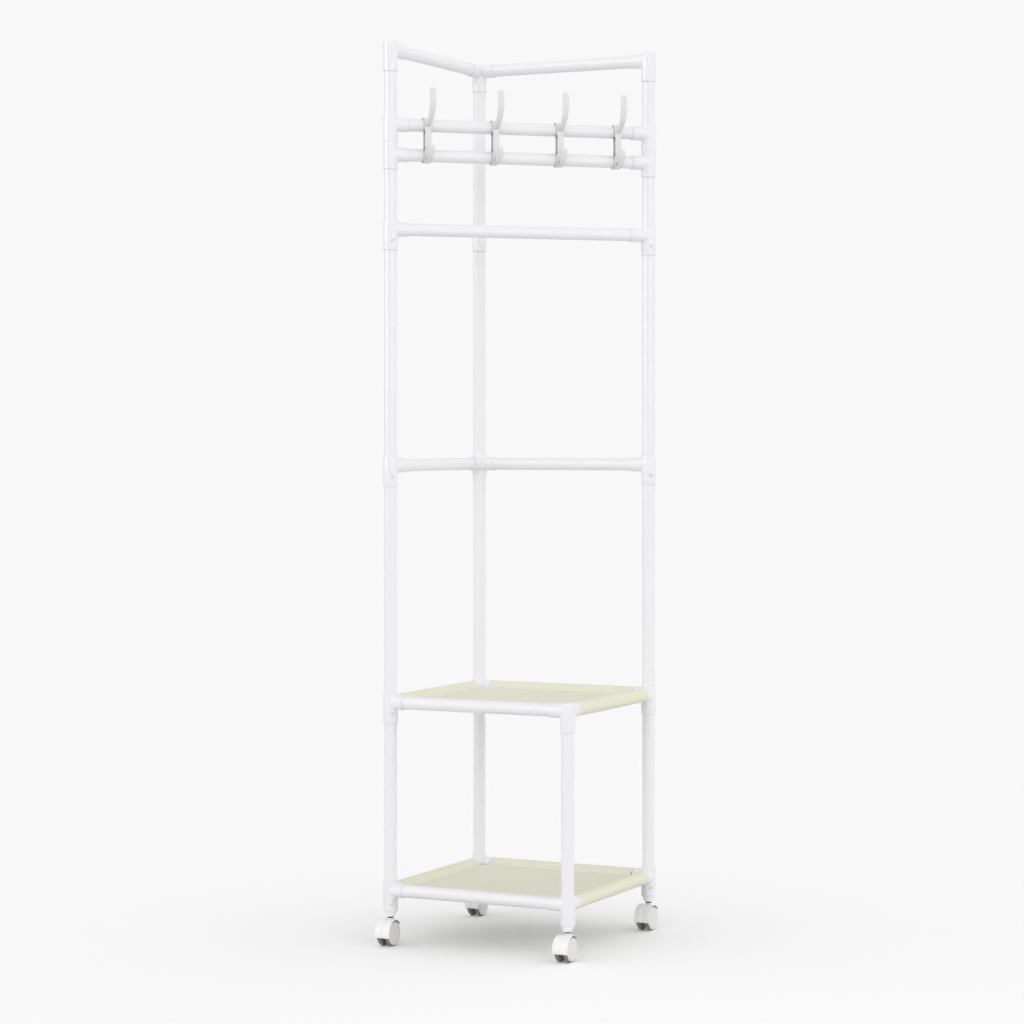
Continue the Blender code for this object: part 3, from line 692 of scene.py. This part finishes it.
def prongMesh(name, points, halfThick, halfWide):
    # a bar of rounded section along a bent line, slimmer at its root and rounded off at its tip
    around, tipRound = hookShape["around"], hookShape["tipRound"]
    rootShare, growth = hookShape["rootWidth"]
    centres = smoothLine(points, 9)
    fine = []        # closer steps towards the tip
    for a, b in zip(centres, centres[1:]):
        many = 3 if (points[-1] - a).length < tipRound else 1
        fine += [a + (b - a) * (i / many) for i in range(many)]
    onward = (centres[-1] - centres[-2]).normalized() * halfThick
    fine += [points[-1] + onward * (i / 6) for i in range(7)]
    total = sum((b - a).length for a, b in zip(fine, fine[1:]))
    bm = bmesh.new()
    rings, walked = [], 0.0
    for i, here in enumerate(fine[:-1]):
        if i:
            walked += (here - fine[i - 1]).length
        along = (fine[i + 1] - fine[max(i - 1, 0)]).normalized()
        normal = Vector((-along.y, along.x))
        left = max(total - walked, 0.0)
        thick = halfThick * math.sqrt(1 - max(1 - left / halfThick, 0.0) ** 2)
        wide = halfWide * (rootShare + growth * min(2 * walked / total, 1.0))
        wide *= math.sqrt(1 - max(1 - left / tipRound, 0.0) ** 2)
        ring = []
        for k in range(around):
            a = wholeTurn * k / around
            c, s = math.cos(a), math.sin(a)
            reach = (abs(c) ** 3 + abs(s) ** 3) ** (-1 / 3)
            spot = here + normal * thick * reach * c
            ring.append(bm.verts.new((spot.x, spot.y, wide * reach * s)))
        rings.append(ring)
    rings.append([bm.verts.new((fine[-1].x, fine[-1].y, 0.0))])
    skinRings(bm, rings)
    bm.faces.new(list(reversed(rings[0])))
    return meshFrom(bm, name)


halfDrop = hookDrop / 2
upperRail, lowerRail = Vector((0.0, halfDrop)), Vector((0.0, -halfDrop))
spineFront, clipOuter, clipInner = hookShape["spineFront"], hookShape["clipOuter"], hookShape["clipInner"]
reachDeg, spineDeg = hookShape["clipReach"], hookShape["spineSide"]
outline = arcPoints(upperRail, clipOuter, reachDeg, 25.0, 22)
outline += [(spineFront + u, halfDrop + v) for u, v in hookShape["head"]]
outline.append((spineFront, -halfDrop - hookShape["heel"]))
outline += [(spineFront + u, -halfDrop - clipOuter + v) for u, v in hookShape["toe"]]
outline += arcPoints(lowerRail, clipOuter, -80.0, -reachDeg, 16)
outline += arcPoints(lowerRail, clipInner, -reachDeg, spineDeg, 30)
outline += arcPoints(upperRail, clipInner, -spineDeg, reachDeg, 30)
spineMesh = slab("hook_spine", outline, hookShape["width"], hookShape["edge"], 4)
web, halfProng = hookShape["thick"] / 2, hookShape["prongWidth"] / 2
longLine = [Vector((spineFront + u, halfDrop + v)) for u, v in hookShape["longBends"]]
shortLine = [Vector((spineFront + u, v - halfDrop)) for u, v in hookShape["shortBends"]]
longProng = prongMesh("hook_long_prong", longLine, web, halfProng)
shortProng = prongMesh("hook_short_prong", shortLine, web, halfProng - hookShape["shortSlimmer"])
frontWall, backWall, railWall, coreDeep = hookShape["core"]
coreBack = clipInner * math.cos(math.radians(spineDeg)) + backWall
coreBend = hookShape["coreBend"] * (clipInner + railWall)
coreSide = []
for depth in (coreBack, 0.5 * (coreBack + coreBend), coreBend):        # follows the round of the rail
    coreSide.append((depth, halfDrop - math.sqrt((clipInner + railWall) ** 2 - depth ** 2)))
coreSide.append((spineFront - frontWall, coreSide[-1][1]))
coreMesh = slab("hook_core", [(u, -v) for u, v in coreSide] + coreSide[::-1], 2 * coreDeep)
face = hookShape["width"] / 2
hookMesh = carved("coat_hook", spineMesh, [
    ("UNION", longProng, unmoved), ("UNION", shortProng, unmoved),
    ("DIFFERENCE", coreMesh, shift(0.0, 0.0, face)), ("DIFFERENCE", coreMesh, shift(0.0, 0.0, -face)),
])
for i in range(1, 5):
    node = f"coat_hook_{i}"
    place = shift(middleOf(node).x, 0.0, heights["hook"] - halfDrop)
    place = place @ turnZ(-quarter) @ Matrix.Rotation(quarter, 4, "X")
    addPiece(node + "_moulding", hookMesh, "hookWhite", place, f"hook_{i}", node)
print("hooks made")


# twin-wheel casters
casterShape = {
    "wheel": 0.025, "wheelInner": 0.005, "hub": 0.0045, "treadOuter": 0.0132, "treadWall": 0.003, "treadLap": 0.002,
    "treadRound": (0.002, 0.0042), "wheelOuter": 0.0168, "trail": 0.009, "turns": 64,
    # the disc: a low dome with a rounded shoulder, and a pocket for the end of the axle
    "disc": 0.0228, "dome": 0.955, "domeDrop": 0.0013, "domeBulge": 2.2, "shoulder": 0.0024, "discBack": 0.0002,
    "shoulderRound": 0.0012, "pocket": 0.0034, "pocketDeep": 0.0026,
    # the hood: two lobes with a valley between them, over a web that holds the axle
    "hood": 0.02799, "hoodInner": 0.02649, "hoodHalf": 0.0166, "hem": 0.0186, "web": 0.0045, "room": 0.02599,
    "hoodTurns": 80, "lip": (0.0011, 0.0022), "lipEdge": (0.0004, 0.0002), "valley": 0.0014, "valleyWide": 0.0018,
    "axle": 0.003, "axleHalf": 0.0138,
    # corners of the hood's mouth as shares of its radius, and how they are rounded
    "mouth": (-0.2, -0.1, -0.56, -0.66), "mouthRound": {1: 0.004, 2: 0.003, 3: 0.003},
    # the boss that the stem's pin turns in
    "boss": 0.0068, "bossSoft": 0.0008, "bossTop": 0.05449, "bossFoot": 0.72, "bossTurns": 40,
    "pinBore": 0.0033, "pinBoreDeep": 0.0223, "pinTurns": 32,
    # the stem
    "stem": 0.00375, "stemTall": 0.018, "collar": 0.006, "collarTall": 0.0022, "collarGap": 0.0003,
    "collarRound": 0.0004, "pin": 0.003, "pinDeep": 0.022, "stemTurns": 40,
    "over": 0.004,        # the cutters run past the ends by this
}


def wheelMeshes():
    c = casterShape
    lap, wall, outer = c["disc"] - c["treadLap"], c["treadOuter"] - c["treadWall"], c["wheelOuter"]
    tread = softened(
        [(lap, c["treadOuter"]), (c["wheel"], c["treadOuter"]), (c["wheel"], c["wheelInner"]),
         (c["hub"], c["wheelInner"]), (c["hub"], wall), (lap, wall)],
        dict(enumerate(c["treadRound"], 1)), 6,
    )
    rim, dome = c["disc"], c["disc"] * c["dome"]
    line = [(0.0, outer)]
    for i in range(1, 13):
        share = i / 12
        line.append((dome * share, outer - c["domeDrop"] * share ** c["domeBulge"]))
    back, deep = c["treadOuter"] - c["discBack"], outer - c["pocketDeep"]
    shoulder = [(dome, outer - c["domeDrop"]), (rim, outer - c["shoulder"]), (rim, back)]
    line += softened(shoulder, {1: c["shoulderRound"]}, 3)[1:]
    line += [(c["pocket"], back), (c["pocket"], deep), (0.0, deep)]
    return turned("caster_tread", tread, c["turns"], closed=True), turned("caster_disc", line, c["turns"])


def hoodMesh():
    c = casterShape
    radius, inner, wide, web, over = (c[key] for key in ("hood", "hoodInner", "hoodHalf", "web", "over"))
    half = [(0.0, c["axleHalf"]), (c["axle"], c["axleHalf"]), (c["axle"], web), (inner, web)]
    half += [(inner, wide - c["lipEdge"][1]), (inner + c["lipEdge"][0], wide)]
    lipIn, lipDown = c["lip"]
    for i in range(7):        # the lip rounds over into the lobe
        turn = quarter * i / 6
        half.append((radius - lipIn + lipIn * math.sin(turn), wide - lipDown + lipDown * math.cos(turn)))
    for i in range(1, 12):        # from the lobe down into the valley
        t = (wide - lipDown) * (1 - i / 11)
        half.append((radius - c["valley"] * math.exp(-((t / c["valleyWide"]) ** 2)), t))
    base = turned("caster_hood_turned", half + [(r, -t) for r, t in reversed(half[:-1])], c["hoodTurns"])
    hem, front, far = c["wheel"] - c["hem"], -c["trail"] - web, 2 * radius
    cheek, step, visor, brow = (share * radius for share in c["mouth"])
    opening = [(hem, far), (hem, cheek), (step, front), (visor, front), (brow, -far), (far, -far), (far, far)]
    mouth = slab("caster_mouth", softened(opening, c["mouthRound"], 4), 4 * wide)
    top, foot = c["bossTop"] - c["wheel"], c["bossFoot"] * radius
    flank = [(0.0, top), (c["boss"], top), (c["boss"] + c["bossSoft"], foot), (0.0, foot)]
    boss = turned("caster_boss", softened(flank, {1: c["bossSoft"]}, 4), c["bossTurns"])
    bore = turned("caster_bore", rod(c["pinBore"], top + over, top - c["pinBoreDeep"]), c["pinTurns"])
    upright = shift(0.0, -c["trail"], 0.0) @ Matrix.Rotation(-quarter, 4, "Y")
    steps = [("DIFFERENCE", mouth, unmoved), ("UNION", boss, upright)]
    room = c["room"]
    for i, (near, end) in enumerate(((web, wide + over), (-wide - over, -web))):        # clear of the wheels
        ring = [(room, end), (room, near), (0.5 * room, near), (0.5 * room, end)]
        steps.append(("DIFFERENCE", turned(f"caster_room_{i}", ring, c["turns"], closed=True), unmoved))
    return carved("caster_hood", base, steps + [("DIFFERENCE", bore, upright)])


def stemMesh():
    c = casterShape
    base, foot = c["bossTop"] + c["collarGap"], c["bossTop"] - c["pinDeep"]
    top = base + c["collarTall"]
    tip = top + c["stemTall"]
    outline = [
        (0.0, tip), (c["stem"], tip), (c["stem"], top), (c["collar"], top),
        (c["collar"], base), (c["pin"], base), (c["pin"], foot), (0.0, foot),
    ]
    collarRim = {corner: c["collarRound"] for corner in (3, 4)}
    return turned("caster_stem", softened(outline, collarRim, 3), c["stemTurns"])


treadMesh, discMesh = wheelMeshes()
hood, stem, trail = hoodMesh(), stemMesh(), casterShape["trail"]
for side in sides:
    axle = posts[side] - Vector((trail * math.cos(eighth), trail * math.sin(eighth), -casterShape["wheel"]))
    inward, outward = (shift(*axle) @ turnZ(turn * eighth) @ layFlat for turn in (3, -1))
    addPiece(f"caster_stem_{side}_steel", stem, "stemSteel", at(side), node=f"caster_stem_{side}")
    addPiece(f"caster_hood_{side}_moulding", hood, "casterWhite", inward, f"caster_{side}", f"caster_hood_{side}")
    for which, place in (("a", outward), ("b", inward)):
        node, body = f"caster_wheel_{side}_{which}", f"wheel_{side}_{which}"
        addPiece(node + "_tread", treadMesh, "treadGrey", place, body, node)
        addPiece(node + "_disc", discMesh, "discGrey", place, body)
print("casters made")


# shelf cloths, sewn round three rails each
clothShape = {
    "side": (posts["left"].xy - posts["front"].xy).length,
    "radius": 0.0136, "thick": 0.0009, "stitchIn": 0.0061, "rise": 0.0011, "sag": 0.0026,
    "first": 0.0328, "hem": 0.0139, "notch": 0.0526,
    # creases at the corners: height, how many, where and how wide, as shares of the panel, and where they die out
    "fold": (0.0005, 9, 0.17, 0.11, 0.06),
    "ripple": (0.00012, 210.0, 300.0),        # of the sleeves: height, waves along them, slant
    "panelSteps": 84, "sleeveSteps": 60, "sectionSteps": 40, "flapSteps": 6,
}
clothLook = {
    "threads": 1050.0, "slub": 70.0, "grain": 500.0, "blotch": 9.0, "dustScale": 40.0,
    "colour": (0.815, 0.805, 0.655), "shade": (0.785, 0.775, 0.625),
    "cross": (0.3, (0.75, 0.74, 0.585)), "faded": (0.25, (0.83, 0.825, 0.7)), "dust": 0.08,
    "thrown": (0.85, (0.74, 0.74, 0.735)),        # the cloth's colour for bounce light only, so the light it throws on the pipes and floor beside it stays neutral
    "rough": (0.78, 0.92), "fuzz": 0.4, "relief": 0.35, "depth": 0.0003, "sheen": 0.12, "sheenRough": 0.5,
}
stitchShape = {
    "pitch": 0.0042, "length": 0.0029, "thick": 0.00028, "sunk": 0.00012, "arch": 0.00016, "around": 6,
    "inset": 0.0016, "ends": 0.004, "hemInset": 0.006, "hemEnds": 0.003,
    # places along a stitch, and how full it is there
    "swell": ((-1.0, 0.0), (-0.9, 0.55), (-0.5, 0.95), (0.0, 1.0), (0.5, 0.95), (0.9, 0.55), (1.0, 0.0)),
}


def makeCloth(name, look):
    material, tree, shader = newMaterial(name)
    weave = placeGroup(tree, weaveGroup, Threads=look["threads"], Slub=look["slub"])
    grain = placeGroup(tree, grainGroup, Scale=look["grain"], Blotch=look["blotch"])
    dust = placeGroup(tree, dustGroup, Scale=look["dustScale"])
    colour = blended(tree, weave.outputs["Slubs"], look["colour"], look["shade"])
    for mask, share, tint in (
        (weave.outputs["Thread"], *look["cross"]), (grain.outputs["Tone"], *look["faded"]),
        (dust.outputs["Dust"], look["dust"], surface["dust"]),
        # bounce light sees the cloth as neutral grey, so it throws no cream light on its neighbours
        (put(tree, "LightPath").outputs["Is Diffuse Ray"], *look["thrown"]),
    ):
        colour = blended(tree, times(tree, mask, share), colour, tint)
    tall = calc(tree, "ADD", weave.outputs["Height"], times(tree, grain.outputs["Height"], look["fuzz"]))
    bump = put(tree, "Bump", {"Strength": look["relief"], "Distance": look["depth"], "Height": tall})
    setInputs(tree, shader, {
        "Base Color": colour, "Roughness": ranged(tree, grain.outputs["Patch"], 0.0, 1.0, *look["rough"]),
        "Normal": bump.outputs["Normal"], "Sheen Weight": look["sheen"], "Sheen Roughness": look["sheenRough"],
    })
    return material


def panelHeight(x, y):
    # the stretched panel hangs a little in its middle and pulls in faint creases from its corners
    c = clothShape
    low, high = c["radius"] + c["stitchIn"], c["side"] - c["radius"] - c["stitchIn"]
    px = min(max((x - low) / (high - low), 0.0), 1.0)
    py = min(max((y - c["hem"]) / (high - c["hem"]), 0.0), 1.0)
    bowl = math.sin(math.pi * px) ** 1.4 * math.sin(math.pi * (0.08 + 0.92 * py)) ** 1.4
    fall = c["sag"] * bowl - c["rise"]
    tall, many, where, wide, border = c["fold"]
    edge = min(px, 1 - px, py, 1 - py) / border
    for cx, cy, phase in ((0.0, 0.0, 0.4), (1.0, 0.0, 1.1), (0.0, 1.0, 2.0), (1.0, 1.0, 2.9)):
        away = math.hypot(px - cx, py - cy)
        angle = math.atan2(abs(py - cy), abs(px - cx))
        fold = math.sin(many * angle + phase) * math.exp(-((away - where) / wide) ** 2)
        fall += tall * fold * min(edge, 1.0)
    return -fall


def sheetGrid(bm, uvLayer, rows, columns, spotAt, uvAt):
    grid = [[bm.verts.new(spotAt(i / rows, j / columns)) for j in range(columns + 1)] for i in range(rows + 1)]
    for i in range(rows):
        for j in range(columns):
            corners = ((i, j), (i + 1, j), (i + 1, j + 1), (i, j + 1))
            face = bm.faces.new([grid[a][b] for a, b in corners])
            for loop, (a, b) in zip(face.loops, corners):
                loop[uvLayer].uv = uvAt(a / rows, b / columns)


def teardrop():
    # the sleeve's section: from the stitch line round the rail and back, (inward, up)
    c = clothShape
    seam = Vector((c["radius"] + c["stitchIn"], c["rise"]))
    lean = math.atan2(seam.y, seam.x)
    spread = math.acos(c["radius"] / seam.length)
    count, flap, arc = c["sectionSteps"], c["flapSteps"], []
    for i in range(count + 1):
        a = lean + spread + (wholeTurn - 2 * spread) * i / count
        arc.append(Vector((math.cos(a), math.sin(a))) * c["radius"])
    points = [seam + (arc[0] - seam) * (i / flap) for i in range(flap)] + arc
    return points + [arc[-1] + (seam - arc[-1]) * (i / flap) for i in range(1, flap + 1)]


def clothMesh(name):
    c = clothShape
    side, low, hem = c["side"], c["radius"] + c["stitchIn"], c["hem"]
    high = side - low
    bm = bmesh.new()
    uvLayer = bm.loops.layers.uv.new("UVMap")

    def flatPanel(s, t):
        return low + (high - low) * s, hem + (high - hem) * t

    def onPanel(s, t):
        x, y = flatPanel(s, t)
        return x, y, panelHeight(x, y)

    sheetGrid(bm, uvLayer, c["panelSteps"], c["panelSteps"], onPanel, flatPanel)
    for x, y, across in ((0.0, 0.0, (1, 1)), (side, 0.0, (-1, 1)), (0.0, side, (1, -1)), (side, side, (-1, -1))):
        normal = Vector((*across, 0.0)).normalized()        # the corners are cut off
        bmesh.ops.bisect_plane(
            bm, geom=bm.verts[:] + bm.edges[:] + bm.faces[:], plane_no=-normal, clear_outer=True,
            plane_co=Vector((x, y, 0.0)) + normal * (c["notch"] / math.sqrt(2)),
        )
    section = teardrop()
    around = [0.0]
    for a, b in zip(section, section[1:]):
        around.append(around[-1] + (b - a).length)
    count = len(section) - 1
    first, last = c["first"], side - c["first"]
    rippleTall, waves, slant = c["ripple"]

    def flatSleeve(s, t):
        return around[round(s * count)], first + (last - first) * t

    def sleevePoint(kind):
        def spotAt(s, t):
            inward, up = section[round(s * count)]
            along = first + (last - first) * t
            up += rippleTall * math.sin(along * waves + inward * slant) * math.sin(math.pi * s)
            if kind == "rear":
                return along, side - inward, up
            return (inward if kind == "left" else side - inward), along, up
        return spotAt

    for kind in ("left", "right", "rear"):
        sheetGrid(bm, uvLayer, count, c["sleeveSteps"], sleevePoint(kind), flatSleeve)
    bmesh.ops.recalc_face_normals(bm, faces=bm.faces)
    mesh = bpy.data.meshes.new(name + "_sheet")
    bm.to_mesh(mesh)
    area = sum(face.calc_area() for face in bm.faces)
    bm.free()
    holder = bpy.data.objects.new(name + "_sheet", mesh)
    scene.collection.objects.link(holder)
    thicken = holder.modifiers.new("thicken", "SOLIDIFY")
    thicken.thickness = c["thick"]
    thicken.offset = 0.0
    made = applied(holder)
    made.name = name
    made.shade_smooth()
    made.set_sharp_from_angle(angle=math.radians(40))
    return made, area, around[-1]


def stitchMesh(name):
    # short raised threads in rows along the seams and the front hem
    c, s = clothShape, stitchShape
    side, low, hemLine = c["side"], c["radius"] + c["stitchIn"] + s["inset"], c["hem"] + s["hemInset"]
    near, far = c["first"] + s["ends"], side - c["first"] - s["ends"]
    hemNear, hemFar = c["notch"] - c["hem"] + s["hemEnds"], side - c["notch"] + c["hem"] - s["hemEnds"]
    rows = (
        ((low, near), (low, far)), ((side - low, near), (side - low, far)),
        ((near, side - low), (far, side - low)), ((hemNear, hemLine), (hemFar, hemLine)),
    )
    bm = bmesh.new()
    for start, end in rows:
        start, end = Vector(start), Vector(end)
        run = end - start
        along = run.normalized()
        across = Vector((-along.y, along.x))
        for i in range(int(run.length / s["pitch"])):
            middle = start + along * (s["pitch"] * (i + 0.5))
            rings = []
            for share, swell in s["swell"]:
                here = middle + along * (s["length"] / 2 * share)
                base = panelHeight(here.x, here.y) + c["thick"] / 2 - s["sunk"] + s["arch"] * swell
                if swell == 0.0:
                    rings.append([bm.verts.new((here.x, here.y, base))])
                    continue
                ring = []
                for k in range(s["around"]):
                    a = wholeTurn * k / s["around"]
                    spot = here + across * (s["thick"] * swell * math.cos(a))
                    ring.append(bm.verts.new((spot.x, spot.y, base + s["thick"] * swell * math.sin(a))))
                rings.append(ring)
            skinRings(bm, rings)
    return meshFrom(bm, name, 60)


finish["clothCream"] = makeCloth("clothCream", clothLook)
clothSkin, clothArea, sleeveRound = clothMesh("shelf_cloth")
stitches = stitchMesh("shelf_stitches")
for shelf in ("upper", "lower"):
    place = at("left", heights[shelf + "Shelf"]) @ turnZ(-eighth)
    node = f"{shelf}_shelf_cloth"
    cloth = addPiece(node + "_panel", clothSkin, "clothCream", place, node=node)
    thread = addPiece(f"{shelf}_shelf_stitches", stitches, "threadCream", place)
print("cloths made, flat area", round(clothArea, 4))


# a plain pale studio, with the camera where the photograph was taken
studio = {
    "background": 0.938, "floorCamera": 1.0, "floorGlow": 0.058, "floorBounce": 0.76, "fadeFrom": 1.0, "fadeTo": 4.0,
    "worldBack": 0.45, "worldFront": 1.92, "worldTurn": 13.0, "worldRise": 45.0, "worldEdge": (-0.24, -0.02),
    "worldTop": 0.28,
    # name: strength, width in degrees, degrees to the left of the camera, degrees above the floor
    "lamps": {
        "left_strip": (0.8, 26.0, 74.0, 6.0), "left_softbox": (0.16, 16.0, 53.0, 26.0),
        "right_streak": (0.1, 9.0, -37.0, 3.0),
    },
    "eye": (-1.839, -5.390, 1.026), "towards": (0.3197, 0.9475), "lens": 98.44, "shiftY": -0.0778,
}


def showsBackdrop(tree):
    # the rays that see the plain background, straight or in a reflection
    path = put(tree, "LightPath")
    mirrored = calc(tree, "MAXIMUM", path.outputs["Is Glossy Ray"], path.outputs["Is Transmission Ray"])
    return calc(tree, "MAXIMUM", path.outputs["Is Camera Ray"], mirrored)


def greyFrom(tree, level):
    return put(tree, "CombineColor", {"Red": level, "Green": level, "Blue": level}).outputs["Color"]


bm = bmesh.new()
bmesh.ops.create_grid(bm, x_segments=8, y_segments=8, size=60.0)
floorMesh = meshFrom(bm, "floor")
floor = bpy.data.objects.new("studio_floor", floorMesh)
scene.collection.objects.link(floor)
floorFinish, tree, shader = newMaterial("studioFloor")
floorMesh.materials.append(floorFinish)
shown = showsBackdrop(tree)
away = put(tree, "VectorMath", {0: coords(tree)}, operation="LENGTH").outputs["Value"]
far = put(tree, "MapRange", {
    "Value": away, "From Min": studio["fadeFrom"], "From Max": studio["fadeTo"],
}, interpolation_type="SMOOTHSTEP").outputs["Result"]
seen, bounce, backdrop = ((studio[key],) * 3 for key in ("floorCamera", "floorBounce", "background"))
lit = blended(tree, far, seen, (0.0, 0.0, 0.0))        # far off, the floor becomes the backdrop
glow = times(tree, shown, ranged(tree, far, 0.0, 1.0, studio["floorGlow"], studio["background"]))
setInputs(tree, shader, {
    "Base Color": blended(tree, shown, bounce, lit), "Emission Color": greyFrom(tree, glow), "Emission Strength": 1.0,
    "Roughness": 0.9, "Specular IOR Level": 0.0,
})

world = bpy.data.worlds.new("studio")
scene.world = world
world.use_nodes = True
tree = world.node_tree
toCamera = Vector((-studio["towards"][0], -studio["towards"][1], 0.0)).normalized()
turn, rise = math.radians(studio["worldTurn"]), math.radians(studio["worldRise"])
# the bright side of the room is behind the camera and to its right
brightSide = turnZ(turn) @ toCamera * math.cos(rise) + Vector((0.0, 0.0, math.sin(rise)))
sky = coords(tree, "Generated")
facing = put(tree, "VectorMath", {0: sky, 1: brightSide}, operation="DOT_PRODUCT").outputs["Value"]
level = ranged(tree, facing, *studio["worldEdge"], studio["worldBack"], studio["worldFront"])
overhead = put(tree, "SeparateXYZ", {"Vector": sky}).outputs["Z"]
level = times(tree, level, ranged(tree, overhead, 0.0, 1.0, 1.0, studio["worldTop"]))
setInputs(tree, tree.nodes["Background"], {
    "Color": blended(tree, showsBackdrop(tree), greyFrom(tree, level), backdrop), "Strength": 1.0,
})

for name, (strength, softness, leftward, above) in studio["lamps"].items():
    data = bpy.data.lights.new(name, "SUN")
    data.energy = strength
    data.angle = math.radians(softness)
    lamp = bpy.data.objects.new(name, data)
    scene.collection.objects.link(lamp)
    lamp.visible_diffuse = False        # the world lights the stand, the lamps only shine on it
    heading, up = math.atan2(toCamera.y, toCamera.x) - math.radians(leftward), math.radians(above)
    fromWhere = Vector((math.cos(heading) * math.cos(up), math.sin(heading) * math.cos(up), math.sin(up)))
    lamp.rotation_euler = fromWhere.to_track_quat("Z", "Y").to_euler()

eye = bpy.data.cameras.new("photo_camera")
eye.sensor_width = 36.0
eye.lens = studio["lens"]
eye.shift_y = studio["shiftY"]
eye.clip_end = 500.0
camera = bpy.data.objects.new("photo_camera", eye)
scene.collection.objects.link(camera)
camera.location = studio["eye"]
camera.rotation_euler = (quarter, 0.0, -math.atan2(studio["towards"][0], studio["towards"][1]))
scene.camera = camera
scene.view_settings.view_transform = "Standard"
print("studio made")
